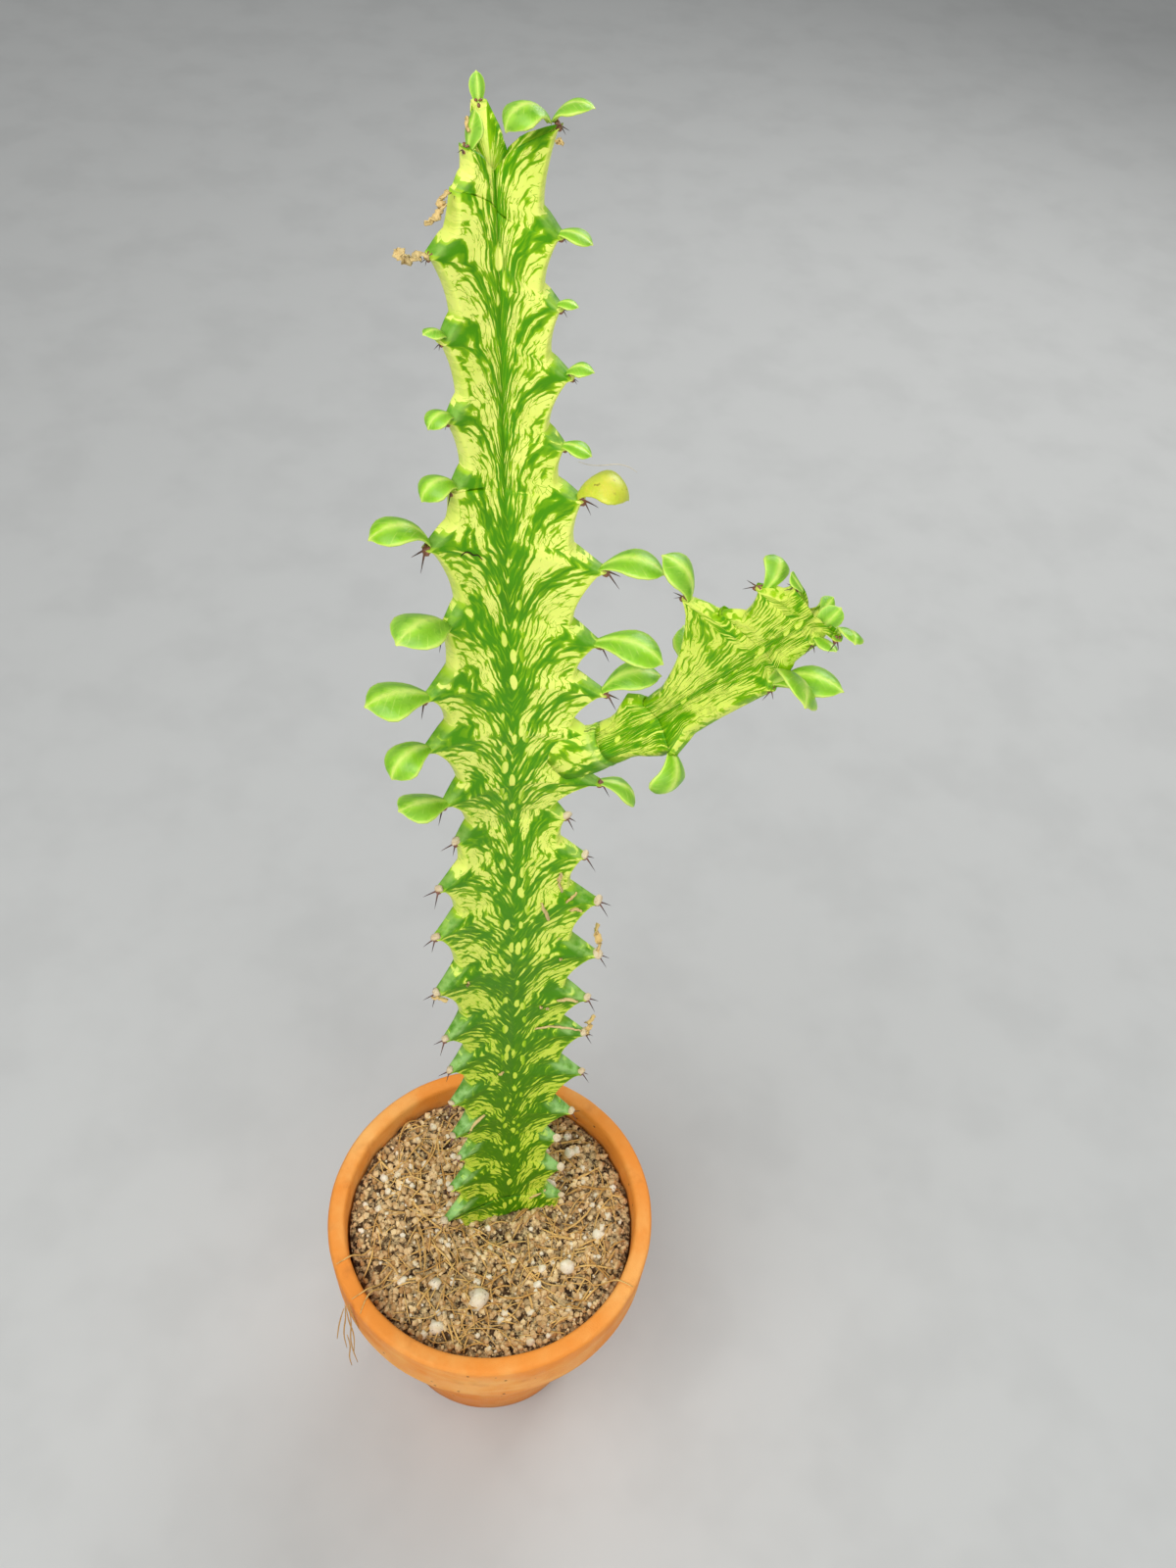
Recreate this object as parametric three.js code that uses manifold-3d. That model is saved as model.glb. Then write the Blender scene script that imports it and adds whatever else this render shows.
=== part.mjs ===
// Potted variegated dragon bones: a three-winged succulent stem with one side branch, rooted in
// gritty soil in a collared clay pot. Millimetres, +Z up, origin under the middle of the pot's foot.
// The plant's photographed face looks along -Y, and its side branch leans out to +X.
import * as THREE from "three";
import { mergeVertices } from "three/addons/utils/BufferGeometryUtils.js";
import Module from "manifold-3d";

const wasm = await Module();
wasm.setup();

// Clay pot
const POT_HEIGHT = 95;
const RIM_RADIUS = 54;
const RIM_WALL = 5.8;
const LIP_ROUND = 1.6;
const COLLAR_HEIGHT = 22.4;
const COLLAR_FOOT_RADIUS = 53.2;
const BODY_TOP_RADIUS = 46;
const BODY_WALL = 5;
const FOOT_RADIUS = 33.5;
const FLOOR_THICKNESS = 8;
const POT_SIDES = 48;
const DRAIN_RADIUS = 3.5;
const DRAIN_CIRCLE = 15;
const DRAIN_COUNT = 3;

// Soil, and the clearance that keeps pieces that rest against each other apart
const SEAT_GAP = 0.35;
const SOIL_LEVEL = 87;
const SOIL_LUMP = 1.1;
const SOIL_RINGS = 7;
const GRIT_COUNT = 22;
const GRIT_RADIUS = [0.9, 2.2];
const LARGE_GRIT = [
  [-3.5, -27, 4],
  [25, -17, 2.8],
  [-17, -36, 2.6],
];

// Main stem: its middle line stands behind the pot's middle and bends gently towards -X as it rises
const STEM_DEPTH = 12;
const STEM_LEAN = [4.5, -7];
const STEM_FACE_AZIMUTH = -77;
const STEM_FOOT = 50;
const STEM_FOOT_REACH = 18.5;
const STEM_SPAN = 375;
const CROWN_SINK = 7.5;

// Each rib's teeth from the soil up: height of the tip, its reach from the stem's middle line,
// and the length of the leaf that it still bears, 0 where only its spines are left,
// or null where nothing grows. The leaves that the photograph shows have their own rise above the
// tooth, swing about the stem and droop towards the tip in degrees, and width over length,
// and a crown leaf its own sink and lift of the root from the tooth's tip.
// A tooth may bear a second leaf.
const LEFT_TEETH = [
  [101, 27, 0],
  [120, 24, 0],
  [136, 20, 0],
  [153, 22, 0],
  [173, 22, 0],
  [192, 22, 0],
  [210, 23, 0],
  [235, 25, 0],
  [259, 24, 0],
  [277, 22, 0],
  [290, 16, 0],
  [306, 19, 13.2, { rise: 43, swing: -8, droop: 51, width: 0.68 }],
  [327, 23, 13.5, { rise: 47, swing: 0, droop: 141, width: 0.65 }],
  [342, 22, 14.5, { rise: 43, swing: -19, droop: 81, width: 0.75 }],
  [358, 16, 16.4, { rise: 60, swing: 5, droop: 102, width: 0.68 }],
  [380, 19, 15.1, { rise: 75, swing: -22, droop: 131, width: 0.53 }],
  [390, 12, 10.3, { rise: 66, swing: -8, droop: 163, width: 0.64 }],
  [405, 12, 6.7, { rise: 62, swing: -3, droop: 153, width: 0.64 }],
  [421, 12.5, 4.9, { rise: 69, swing: -5, droop: 104, width: 0.62 }],
  [437, 14, 0],
  [446, 7.5, 0],
  [452, 5.5, 5.6, { rise: 94, swing: -7, droop: 21, width: 0.58, sink: 0.8, lift: -1.2 }],
];
const RIGHT_TEETH = [
  [93, 20, 0],
  [113, 19, 0],
  [132, 17, 0],
  [152, 21, 0],
  [177, 23, 0],
  [199, 23, 0],
  [217, 23, 0],
  [239, 25, 0],
  [262, 24, 0],
  [279, 20, 0],
  [292, 15, 0],
  [307, 23, 14.4, { rise: 6, swing: 18, droop: 113, width: 0.42 }],
  [321, 22, null],
  [336, 23, 15, { rise: 66, swing: 20, droop: 112, width: 0.52 }],
  [350, 21, 16.5, { rise: 39, swing: -4, droop: 99, width: 0.56 }],
  [370, 21.5, 14.7, { rise: 54, swing: 2, droop: 112, width: 0.53 }],
  [386, 16.5, 14.7, { rise: 78, swing: 7, droop: 175, width: 0.62 }],
  [397, 13, 5.9, { rise: 28, swing: -3, droop: 83, width: 0.64 }],
  [412, 14, 5.6, { rise: 69, swing: 0, droop: 126, width: 0.64 }],
  [425, 12, 3.7, { rise: 51, swing: 0, droop: 106, width: 0.62 }],
  [438, 12, 6.1, { rise: 31, swing: -2, droop: 87, width: 0.62 }],
  [
    456,
    11.5,
    7.6,
    { rise: 72, swing: -1, droop: 110, width: 0.64 },
    { length: 11, rise: 109, swing: 45, droop: 175, width: 0.67 },
  ],
];

// Ribs and teeth of every stem
const SCALLOP_DEPTH = 0.31;
const VALLEY_PLACE = 0.16;
const SCALLOP_STEPS = [0, 0.16, 0.42, 0.74];
const FACE_DEPTH = 0.5;
const MARGIN_HALF = 1.8;
const TIP_HALF = 1.1;
const WING_ROOT_HALF = 3;
const TIP_HOOK = 1.2;
const WING_PLACES = [0, 0.5];

// Side branch: a round neck on the right rib that widens into three ribs of its own
const BRANCH_START = [24.9, 5.2, 321.1];
const BRANCH_BEND = [37.5, 3, 332];
const BRANCH_END = [62.6, -10.5, 377.5];
const BRANCH_FRONT = [-0.63, -0.72, 0.28];
const NECK_RADIUS = 5;
const NECK_BLEND = 15;
const NECK_REACH = [
  [0, 5],
  [4, 5.5],
  [9, 7.5],
  [13, 8],
];
const BOSS_RADIUS = 5.3;
const BOSS_DEPTH = 9;
const BRANCH_TEETH = {
  right: [
    [17, 10, 13.9, { rise: 11, swing: 11, droop: 150, width: 0.66 }],
    [
      48.7,
      8.5,
      18.9,
      { rise: 90, swing: -33, droop: 109, width: 0.6 },
      { length: 15.7, rise: 90, swing: 52, droop: 97, width: 0.5 },
    ],
    [52, 7.5, null],
    [
      62.2,
      5,
      5.7,
      { rise: 64, swing: 11, droop: 61, width: 0.63 },
      { length: 6.4, rise: 106, swing: -33, droop: 19, width: 0.64 },
    ],
    [68.5, 7.3, 7.6, { rise: 90, swing: 17, droop: 110, width: 0.61 }],
  ],
  back: [
    [22, 8.5, 15.2, { rise: 28, swing: 68, droop: 57, width: 0.58 }],
    [42, 12, 10],
    [47, 10.5, null],
    [55, 9.5, 8],
    [62, 6, 3.8, { rise: 10, swing: 16, droop: 10, width: 0.66 }],
  ],
  left: [
    [15, 4.8, null],
    [47.2, 19.6, 12.4, { rise: 68, swing: -9, droop: 119, width: 0.64 }],
    [50, 12.5, null],
    [61.3, 12.1, 9.8, { rise: 90, swing: -55, droop: 173, width: 0.54 }],
    [67, 7.2, 3.6, { rise: 25, swing: 1, droop: 5, width: 0.63 }],
  ],
};
const BRANCH_CROWN_SINK = 3;
const BRANCH_VALLEY = 9;

// The leaf on top of the rib that the photographed face hides
const HIDDEN_CROWN_LEAF = [4.4, { rise: 78, swing: 0, droop: 20, width: 0.45, sink: 0.8, lift: -1.2 }];

// Leaves and spines
const LEAF_THICKNESS = 0.8;
const LEAF_WIDTH_RATIO = 0.62;
const SLIVER = 0.03;
const LEAF_STATIONS = [0, 0.25, 0.5, 0.8, 1];
const LEAF_OUTLINE = [0.2, 0.6, 0.96, 0.86, 0.05];
const LEAF_ARCH = 0.16;
const LEAF_RISE = 55;
const LEAF_DROOP = 110;
const LEAF_SINK = 1.6;
const LEAF_LIFT = 0.4;
const SPINE_LENGTH = [3.2, 5];
const YOUNG_SPINE_SHARE = 0.35;
const YOUNG_TEETH = [378, 400];
const BRANCH_SPINE_SHARE = 0.6;
const SPINE_RADIUS = 0.45;
const SPINE_SPREAD = 0.5;
const SPINE_FALL = 0.55;

const CLAY_COLOUR = 0xd07a45;
const SOIL_COLOUR = 0x6b4f38;
const STEM_COLOUR = 0x6f9e2e;
const BRANCH_COLOUR = 0x8cb53c;

const radians = THREE.MathUtils.degToRad;
const lerp = THREE.MathUtils.lerp;

// A repeatable stream of numbers from 0 to 1
function randomStream(seed) {
  let state = seed;
  return () => {
    state = (state + 0x6d2b79f5) | 0;
    let mixed = Math.imul(state ^ (state >>> 15), 1 | state);
    mixed = (mixed + Math.imul(mixed ^ (mixed >>> 7), 61 | mixed)) ^ mixed;
    return ((mixed ^ (mixed >>> 14)) >>> 0) / 4294967296;
  };
}

// A closed mesh from points and triangles, as a solid that can be joined and cut
function solidFrom(points, triangles) {
  const mesh = new wasm.Mesh({
    numProp: 3,
    vertProperties: new Float32Array(points.flat()),
    triVerts: new Uint32Array(triangles.flat()),
  });
  return new wasm.Manifold(mesh);
}

// A three.js geometry as a solid
function solidOf(geometry) {
  const bare = geometry.clone();
  bare.deleteAttribute("normal");
  bare.deleteAttribute("uv");
  const merged = mergeVertices(bare, 1e-4);
  const position = merged.attributes.position;
  const points = [];
  for (let i = 0; i < position.count; i++) {
    points.push([position.getX(i), position.getY(i), position.getZ(i)]);
  }
  const triangles = [];
  for (let i = 0; i < merged.index.count; i += 3) {
    const [a, b, c] = merged.index.array.slice(i, i + 3);
    if (a !== b && b !== c && c !== a) triangles.push([a, b, c]);
  }
  return solidFrom(points, triangles);
}

function geometryOf(solid) {
  const { vertProperties, triVerts } = solid.getMesh();
  const geometry = new THREE.BufferGeometry();
  geometry.setAttribute("position", new THREE.BufferAttribute(new Float32Array(vertProperties), 3));
  geometry.setIndex(new THREE.BufferAttribute(new Uint32Array(triVerts), 1));
  geometry.computeVertexNormals();
  return geometry;
}

// Solids fused into one body, without the slivers where they meet.
// Loose scraps are dropped and sealed pockets are filled.
function fused(solids) {
  const bodies = wasm.Manifold.union(solids).simplify(SLIVER).decompose();
  return bodies.reduce((largest, body) => (body.volume() > largest.volume() ? body : largest));
}

// Inner wall of the pot from the lip down, moved inwards by a clearance
function innerWall(gap) {
  const collarFoot = POT_HEIGHT - COLLAR_HEIGHT;
  const footInner = FOOT_RADIUS - BODY_WALL;
  return [
    [RIM_RADIUS - RIM_WALL - gap, POT_HEIGHT - LIP_ROUND],
    [COLLAR_FOOT_RADIUS - RIM_WALL - gap, collarFoot],
    [BODY_TOP_RADIUS - BODY_WALL - gap, collarFoot - BODY_WALL],
    [footInner - gap, FLOOR_THICKNESS + gap],
  ];
}

function pot() {
  const collarFoot = POT_HEIGHT - COLLAR_HEIGHT;
  const profile = [
    [0, 0],
    [FOOT_RADIUS - 0.8, 0],
    [FOOT_RADIUS, 0.8],
    [BODY_TOP_RADIUS, collarFoot],
    [COLLAR_FOOT_RADIUS - LIP_ROUND, collarFoot],
    [COLLAR_FOOT_RADIUS, collarFoot + LIP_ROUND],
    [RIM_RADIUS, POT_HEIGHT - LIP_ROUND],
    [RIM_RADIUS - 0.3 * LIP_ROUND, POT_HEIGHT - 0.3 * LIP_ROUND],
    [RIM_RADIUS - LIP_ROUND, POT_HEIGHT],
    [RIM_RADIUS - RIM_WALL + LIP_ROUND, POT_HEIGHT],
    ...innerWall(0),
    [0, FLOOR_THICKNESS],
  ];
  const points = profile.map(([radius, height]) => new THREE.Vector2(radius, height));
  const body = solidOf(new THREE.LatheGeometry(points, POT_SIDES).rotateX(Math.PI / 2));
  const drains = [];
  for (let i = 0; i < DRAIN_COUNT; i++) {
    const angle = (2 * Math.PI * i) / DRAIN_COUNT;
    const drain = new THREE.CylinderGeometry(DRAIN_RADIUS, DRAIN_RADIUS, 3 * FLOOR_THICKNESS, 12)
      .rotateX(Math.PI / 2)
      .translate(DRAIN_CIRCLE * Math.cos(angle), DRAIN_CIRCLE * Math.sin(angle), 0);
    drains.push(solidOf(drain));
  }
  return body.subtract(wasm.Manifold.union(drains));
}

// Height of the lumpy soil surface
function soilHeight(x, y) {
  const broad = Math.sin(0.13 * x + 1.1) * Math.cos(0.11 * y - 0.4);
  const clods = Math.sin(0.42 * x - 0.31 * y) * Math.sin(0.37 * y + 0.23 * x + 2);
  return SOIL_LEVEL + SOIL_LUMP * (0.6 * broad + 0.7 * clods);
}

function grain(x, y, radius, random) {
  const shape = new THREE.IcosahedronGeometry(radius, 0)
    .scale(1, 0.75 + 0.3 * random(), 0.8)
    .rotateZ(2 * Math.PI * random())
    .rotateX(random());
  return solidOf(shape.translate(x, y, soilHeight(x, y) + 0.25 * radius));
}

// Soil body: the pot's inner wall less the seat gap, closed by the lumpy surface
function soil(stemHole) {
  const wall = innerWall(SEAT_GAP).slice(1).reverse();
  const edge = COLLAR_FOOT_RADIUS - RIM_WALL - SEAT_GAP;
  const rings = [
    ...wall.map(([radius, height]) => [radius, () => height]),
    ...Array.from({ length: SOIL_RINGS }, (_, i) => [edge * (1 - i / SOIL_RINGS), soilHeight]),
  ];
  const points = [[0, 0, wall[0][1]]];
  for (const [radius, height] of rings) {
    for (let i = 0; i < POT_SIDES; i++) {
      const angle = (2 * Math.PI * i) / POT_SIDES;
      const x = radius * Math.cos(angle);
      const y = radius * Math.sin(angle);
      points.push([x, y, height(x, y)]);
    }
  }
  points.push([0, 0, soilHeight(0, 0)]);
  const body = solidFrom(points, ringTriangles(rings.length, POT_SIDES));

  const random = randomStream(11);
  const grains = LARGE_GRIT.map(([x, y, radius]) => grain(x, y, radius, random));
  while (grains.length < GRIT_COUNT) {
    const angle = 2 * Math.PI * random();
    const distance = (edge - 4) * Math.sqrt(random());
    const x = distance * Math.cos(angle);
    const y = distance * Math.sin(angle);
    const radius = lerp(...GRIT_RADIUS, random() ** 2);
    const fromStem = Math.hypot(x - STEM_LEAN[0], y - STEM_DEPTH);
    if (fromStem > STEM_FOOT_REACH + 2 * GRIT_RADIUS[1]) grains.push(grain(x, y, radius, random));
  }
  return fused([body, ...grains]).subtract(stemHole);
}

// Triangles of a closed tube: point 0 below, rings of equal size, and one last point above
function ringTriangles(ringCount, sides) {
  const triangles = [];
  const last = 1 + ringCount * sides;
  for (let i = 0; i < sides; i++) {
    const next = (i + 1) % sides;
    triangles.push([0, 1 + next, 1 + i]);
    for (let ring = 0; ring < ringCount - 1; ring++) {
      const low = 1 + ring * sides;
      const high = low + sides;
      triangles.push([low + i, low + next, high + next], [low + i, high + next, high + i]);
    }
    triangles.push([last - sides + i, last - sides + next, last]);
  }
  return triangles;
}

// Middle line of the main stem: the place and the axes of its section at a height
function stemFrame(height) {
  const climb = Math.max(0, height - SOIL_LEVEL) / STEM_SPAN;
  const lean = STEM_LEAN[0] + STEM_LEAN[1] * climb ** 2;
  const azimuth = radians(STEM_FACE_AZIMUTH);
  return {
    origin: new THREE.Vector3(lean, STEM_DEPTH, height),
    front: new THREE.Vector3(Math.cos(azimuth), Math.sin(azimuth), 0),
    side: new THREE.Vector3(-Math.sin(azimuth), Math.cos(azimuth), 0),
    up: new THREE.Vector3(0, 0, 1),
  };
}

const branchLine = new THREE.QuadraticBezierCurve3(
  new THREE.Vector3(...BRANCH_START),
  new THREE.Vector3(...BRANCH_BEND),
  new THREE.Vector3(...BRANCH_END),
);
const BRANCH_LENGTH = branchLine.getLength();

// Middle line of the side branch, measured along it from the neck
function branchFrame(distance) {
  const along = THREE.MathUtils.clamp(distance / BRANCH_LENGTH, 0, 1);
  const up = branchLine.getTangentAt(along);
  const origin = branchLine.getPointAt(along).addScaledVector(up, distance - along * BRANCH_LENGTH);
  const front = new THREE.Vector3(...BRANCH_FRONT);
  front.addScaledVector(up, -front.dot(up)).normalize();
  return { origin, front, side: new THREE.Vector3().crossVectors(up, front), up };
}

// How deep the rib's edge lies below its teeth, 0 at a tip and 1 in the valley,
// on the way from one tooth up to the next
function scallop(place) {
  if (place < VALLEY_PLACE) return (place / VALLEY_PLACE) ** 0.85;
  return 1 - ((place - VALLEY_PLACE) / (1 - VALLEY_PLACE)) ** 1.8;
}

// The rib's edge between two teeth: height, reach and half thickness. The stem's faces follow the
// valleys between the teeth, but no deeper valley than the given one.
function ribEdge(lower, upper, place, deepest = Infinity) {
  const depth = scallop(place);
  const hook = TIP_HOOK * Math.min(1, place / 0.1, (1 - place) / 0.1);
  return {
    height: lerp(lower[0], upper[0], place) + hook,
    valley: Math.min(lerp(lower[1], upper[1], place) * (1 - SCALLOP_DEPTH), deepest),
    reach: lerp(lower[1], upper[1], place) * (1 - SCALLOP_DEPTH * depth),
    half: lerp(TIP_HALF, MARGIN_HALF, depth),
  };
}

// Rows of rib edges up a stem, each row a list of right, back and left edge
function ribRows(teeth, foot, deepest) {
  const rows = foot.map(({ height, reach }) =>
    teeth.map(() => ({ height, reach, valley: reach, half: MARGIN_HALF })),
  );
  const soilLine = rows[rows.length - 1];
  const below = teeth.map((rib, k) => [soilLine[k].height, soilLine[k].reach / (1 - SCALLOP_DEPTH)]);
  rows.push(teeth.map((rib, k) => ribEdge(below[k], rib[0], SCALLOP_STEPS[3], deepest)));
  for (let tooth = 0; tooth < teeth[0].length - 1; tooth++) {
    for (const place of SCALLOP_STEPS) {
      rows.push(teeth.map((rib) => ribEdge(rib[tooth], rib[tooth + 1], place, deepest)));
    }
  }
  rows.push(teeth.map((rib) => ribEdge(rib[rib.length - 2], rib[rib.length - 1], 1, deepest)));
  return rows;
}

// One row of a stem's skin. Each third runs from a rib's edge over the face to the next rib's edge.
function sectionRow(row, frameAt, sink, roundness) {
  const points = [];
  for (let third = 0; third < 3; third++) {
    const from = row[third];
    const to = row[(third + 1) % 3];
    const ribAngle = radians(60 + 120 * third);
    const faceHeight = (from.height + to.height) / 2 - sink;
    const faceRadius = (FACE_DEPTH * (from.valley + to.valley)) / 2;
    const add = (x, y, angle, height) => {
      points.push(skinPoint(x, y, angle, height, frameAt, roundness));
    };
    add(from.reach + 0.25 * from.half, 0, ribAngle, from.height);
    for (const place of WING_PLACES) {
      const { x, y } = wingCurve(from, faceRadius, place);
      add(x, y, ribAngle, lerp(from.height, faceHeight, place));
    }
    add(faceRadius, 0, ribAngle + radians(60), faceHeight);
    for (const place of WING_PLACES.toReversed()) {
      const { x, y } = wingCurve(to, faceRadius, place);
      add(x, -y, ribAngle + radians(120), lerp(to.height, faceHeight, place));
    }
  }
  return points;
}

// Half a wing in its rib's own plane: from the margin at place 0 to the face's middle at place 1
function wingCurve(edge, faceRadius, place) {
  const face = new THREE.Vector2(faceRadius * Math.cos(Math.PI / 3), faceRadius * Math.sin(Math.PI / 3));
  const margin = new THREE.Vector2(edge.reach, edge.half);
  const rootHalf = Math.min(WING_ROOT_HALF, 0.85 * face.y);
  const rootReach = face.x + (face.y - rootHalf) * Math.tan(Math.PI / 3);
  const root = new THREE.Vector2(Math.min(rootReach, 0.86 * edge.reach), rootHalf);
  return new THREE.QuadraticBezierCurve(margin, root, face).getPoint(place);
}

// A point of a section, blended towards a plain round section of the given radius
function skinPoint(x, y, ribAngle, height, frameAt, roundness) {
  const local = new THREE.Vector2(x, y).rotateAround(new THREE.Vector2(), ribAngle);
  if (roundness) {
    const round = local.clone().setLength(roundness.radius);
    local.lerp(round, roundness.share);
  }
  const { origin, front, side } = frameAt(height);
  return origin.clone().addScaledVector(front, local.x).addScaledVector(side, local.y).toArray();
}

// A stem's skin as one closed solid
function stemBody(rows, frameAt, crownSink, roundnessAt) {
  const crownRows = 6;
  const rings = rows.map((row, i) => {
    const nearTop = Math.max(0, (i - rows.length + crownRows) / (crownRows - 1));
    return sectionRow(row, frameAt, crownSink * nearTop ** 2, roundnessAt(row));
  });
  const top = rows[rows.length - 1];
  const topHeight = (top[0].height + top[1].height + top[2].height) / 3 - crownSink - 0.6;
  const points = [
    frameAt(rows[0][0].height).origin.toArray(),
    ...rings.flat(),
    frameAt(topHeight).origin.toArray(),
  ];
  return solidFrom(points, ringTriangles(rings.length, rings[0].length));
}

// A thin arched blade, pointed at its tip. It grows along +X from the origin, upper side to +Z.
function leafBlade(length, width, droop) {
  const upper = [];
  const lower = [];
  const steps = 12;
  const line = [[0, 0, 0]];
  for (let i = 1; i <= steps; i++) {
    const [x, z] = line[i - 1];
    const bend = droop * ((i - 0.5) / steps) ** 1.3;
    line.push([x + (length / steps) * Math.cos(bend), z - (length / steps) * Math.sin(bend), bend]);
  }
  LEAF_STATIONS.forEach((station, i) => {
    const [x, z, bend] = line[Math.round(station * steps)];
    const half = 0.5 * width * LEAF_OUTLINE[i];
    for (const across of [-1, 0, 1]) {
      const fall = across ? LEAF_ARCH * 2 * half : 0;
      const top = [x - fall * Math.sin(bend), across * half, z - fall * Math.cos(bend)];
      upper.push(top);
      lower.push([
        top[0] - LEAF_THICKNESS * Math.sin(bend),
        top[1],
        top[2] - LEAF_THICKNESS * Math.cos(bend),
      ]);
    }
  });
  const count = upper.length;
  const triangles = [];
  const quad = (a, b, c, d) => triangles.push([a, b, c], [a, c, d]);
  const lastRow = count - 3;
  for (let row = 0; row < lastRow; row += 3) {
    for (let column = 0; column < 2; column++) {
      const a = row + column;
      quad(a, a + 3, a + 4, a + 1);
      triangles.push([count + a, count + a + 4, count + a + 3]);
      triangles.push([count + a, count + a + 1, count + a + 4]);
    }
    quad(row, count + row, count + row + 3, row + 3);
    quad(row + 2, row + 5, count + row + 5, count + row + 2);
  }
  for (let column = 0; column < 2; column++) {
    quad(column, column + 1, count + column + 1, count + column);
    const end = lastRow + column;
    quad(end, count + end, count + end + 1, end + 1);
  }
  return solidFrom([...upper, ...lower], triangles);
}

// Stands a solid that grows along +X at a place, along a direction, with its upper side towards up
function planted(solid, place, direction, up) {
  const x = direction.clone().normalize();
  const y = new THREE.Vector3().crossVectors(up, x).normalize();
  const z = new THREE.Vector3().crossVectors(x, y);
  const matrix = new THREE.Matrix4().makeBasis(x, y, z).setPosition(place);
  return solid.transform(matrix.toArray());
}

function spine(length) {
  const cone = new THREE.ConeGeometry(SPINE_RADIUS, length + 1, 3).rotateZ(-Math.PI / 2);
  return solidOf(cone.translate((length + 1) / 2 - 1, 0, 0));
}

// The usual way for a leaf to grow, with some chance
function usualHabit(random) {
  const chance = (spread) => spread * (random() - 0.5);
  return {
    rise: LEAF_RISE + chance(14),
    swing: chance(20),
    droop: LEAF_DROOP + chance(24),
    width: LEAF_WIDTH_RATIO,
  };
}

// What grows on one tooth: two spines and, higher up, one or two leaves above them
function toothGrowth(tooth, ribAngle, frameAt, random, spineShareAt) {
  const [height, reach, leafLength, habit, second] = tooth;
  if (leafLength === null) return [];
  const { origin, front, side, up } = frameAt(height);
  const outward = front
    .clone()
    .multiplyScalar(Math.cos(ribAngle))
    .addScaledVector(side, Math.sin(ribAngle));
  const across = new THREE.Vector3().crossVectors(up, outward);
  const tip = origin.clone().addScaledVector(outward, reach);
  const pieces = [];
  for (const turn of [-1, 1]) {
    const direction = outward
      .clone()
      .addScaledVector(up, -SPINE_FALL - 0.3 * random())
      .addScaledVector(across, turn * (SPINE_SPREAD + 0.3 * random()));
    const length = lerp(...SPINE_LENGTH, random()) * spineShareAt(height);
    pieces.push(planted(spine(length), tip, direction, up));
  }
  const leaves = leafLength ? [{ length: leafLength, ...(habit ?? usualHabit(random)) }] : [];
  if (second) leaves.push(second);
  for (const leaf of leaves) {
    const climb = radians(leaf.rise);
    const turn = radians(leaf.swing);
    const direction = outward
      .clone()
      .multiplyScalar(Math.cos(climb) * Math.cos(turn))
      .addScaledVector(across, Math.cos(climb) * Math.sin(turn))
      .addScaledVector(up, Math.sin(climb));
    const full = leaf.length + LEAF_SINK;
    const blade = leafBlade(full, leaf.width * full, radians(leaf.droop));
    const place = tip.clone().addScaledVector(outward, -(leaf.sink ?? LEAF_SINK));
    place.addScaledVector(up, leaf.lift ?? LEAF_LIFT);
    pieces.push(planted(blade, place, direction, up));
  }
  return pieces;
}

// Teeth of the rib that the photographed face hides: between its neighbours in height and in size
function hiddenRib(left, right) {
  return left.map(([height, reach, leaf], i) => {
    const next = Math.min(i + 1, left.length - 1);
    const pitch = (left[next][0] + right[next][0] - height - right[i][0]) / 2;
    const leafLength = leaf && right[i][2] ? (leaf + right[i][2]) / 2 : 0;
    const growth = i === left.length - 1 ? HIDDEN_CROWN_LEAF : [leafLength];
    return [(height + right[i][0]) / 2 + 0.5 * pitch, (reach + right[i][1]) / 2, ...growth];
  });
}

function growths(teeth, frameAt, seed, spineShareAt) {
  const random = randomStream(seed);
  return teeth.flatMap((rib, k) =>
    rib.flatMap((tooth) => toothGrowth(tooth, radians(60 + 120 * k), frameAt, random, spineShareAt)),
  );
}

const stemTeeth = [RIGHT_TEETH, hiddenRib(LEFT_TEETH, RIGHT_TEETH), LEFT_TEETH];
const branchTeeth = [BRANCH_TEETH.right, BRANCH_TEETH.back, BRANCH_TEETH.left];

// The round boss on the right rib that the branch's neck meets
function branchBoss() {
  const { origin, up } = branchFrame(0);
  const boss = new THREE.CylinderGeometry(BOSS_RADIUS, BOSS_RADIUS, BOSS_DEPTH, 16).rotateZ(-Math.PI / 2);
  const place = origin.clone().addScaledVector(up, -SEAT_GAP);
  return planted(solidOf(boss.translate(-BOSS_DEPTH / 2, 0, 0)), place, up, new THREE.Vector3(0, 0, 1));
}

function mainStem() {
  const foot = [
    { height: STEM_FOOT, reach: STEM_FOOT_REACH },
    { height: SOIL_LEVEL + 1, reach: STEM_FOOT_REACH },
  ];
  const body = stemBody(ribRows(stemTeeth, foot), stemFrame, CROWN_SINK, () => null);
  const spineShareAt = (height) =>
    lerp(1, YOUNG_SPINE_SHARE, THREE.MathUtils.smoothstep(height, ...YOUNG_TEETH));
  return fused([body, branchBoss(), ...growths(stemTeeth, stemFrame, 5, spineShareAt)]);
}

// The straight hole that the stem's foot stands in
function stemHole() {
  const rows = [STEM_FOOT - SEAT_GAP, POT_HEIGHT].map((height) =>
    stemTeeth.map(() => ({
      height,
      reach: STEM_FOOT_REACH + SEAT_GAP,
      valley: STEM_FOOT_REACH + 2 * SEAT_GAP,
      half: MARGIN_HALF + SEAT_GAP,
    })),
  );
  return stemBody(rows, stemFrame, 0, () => null);
}

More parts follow.
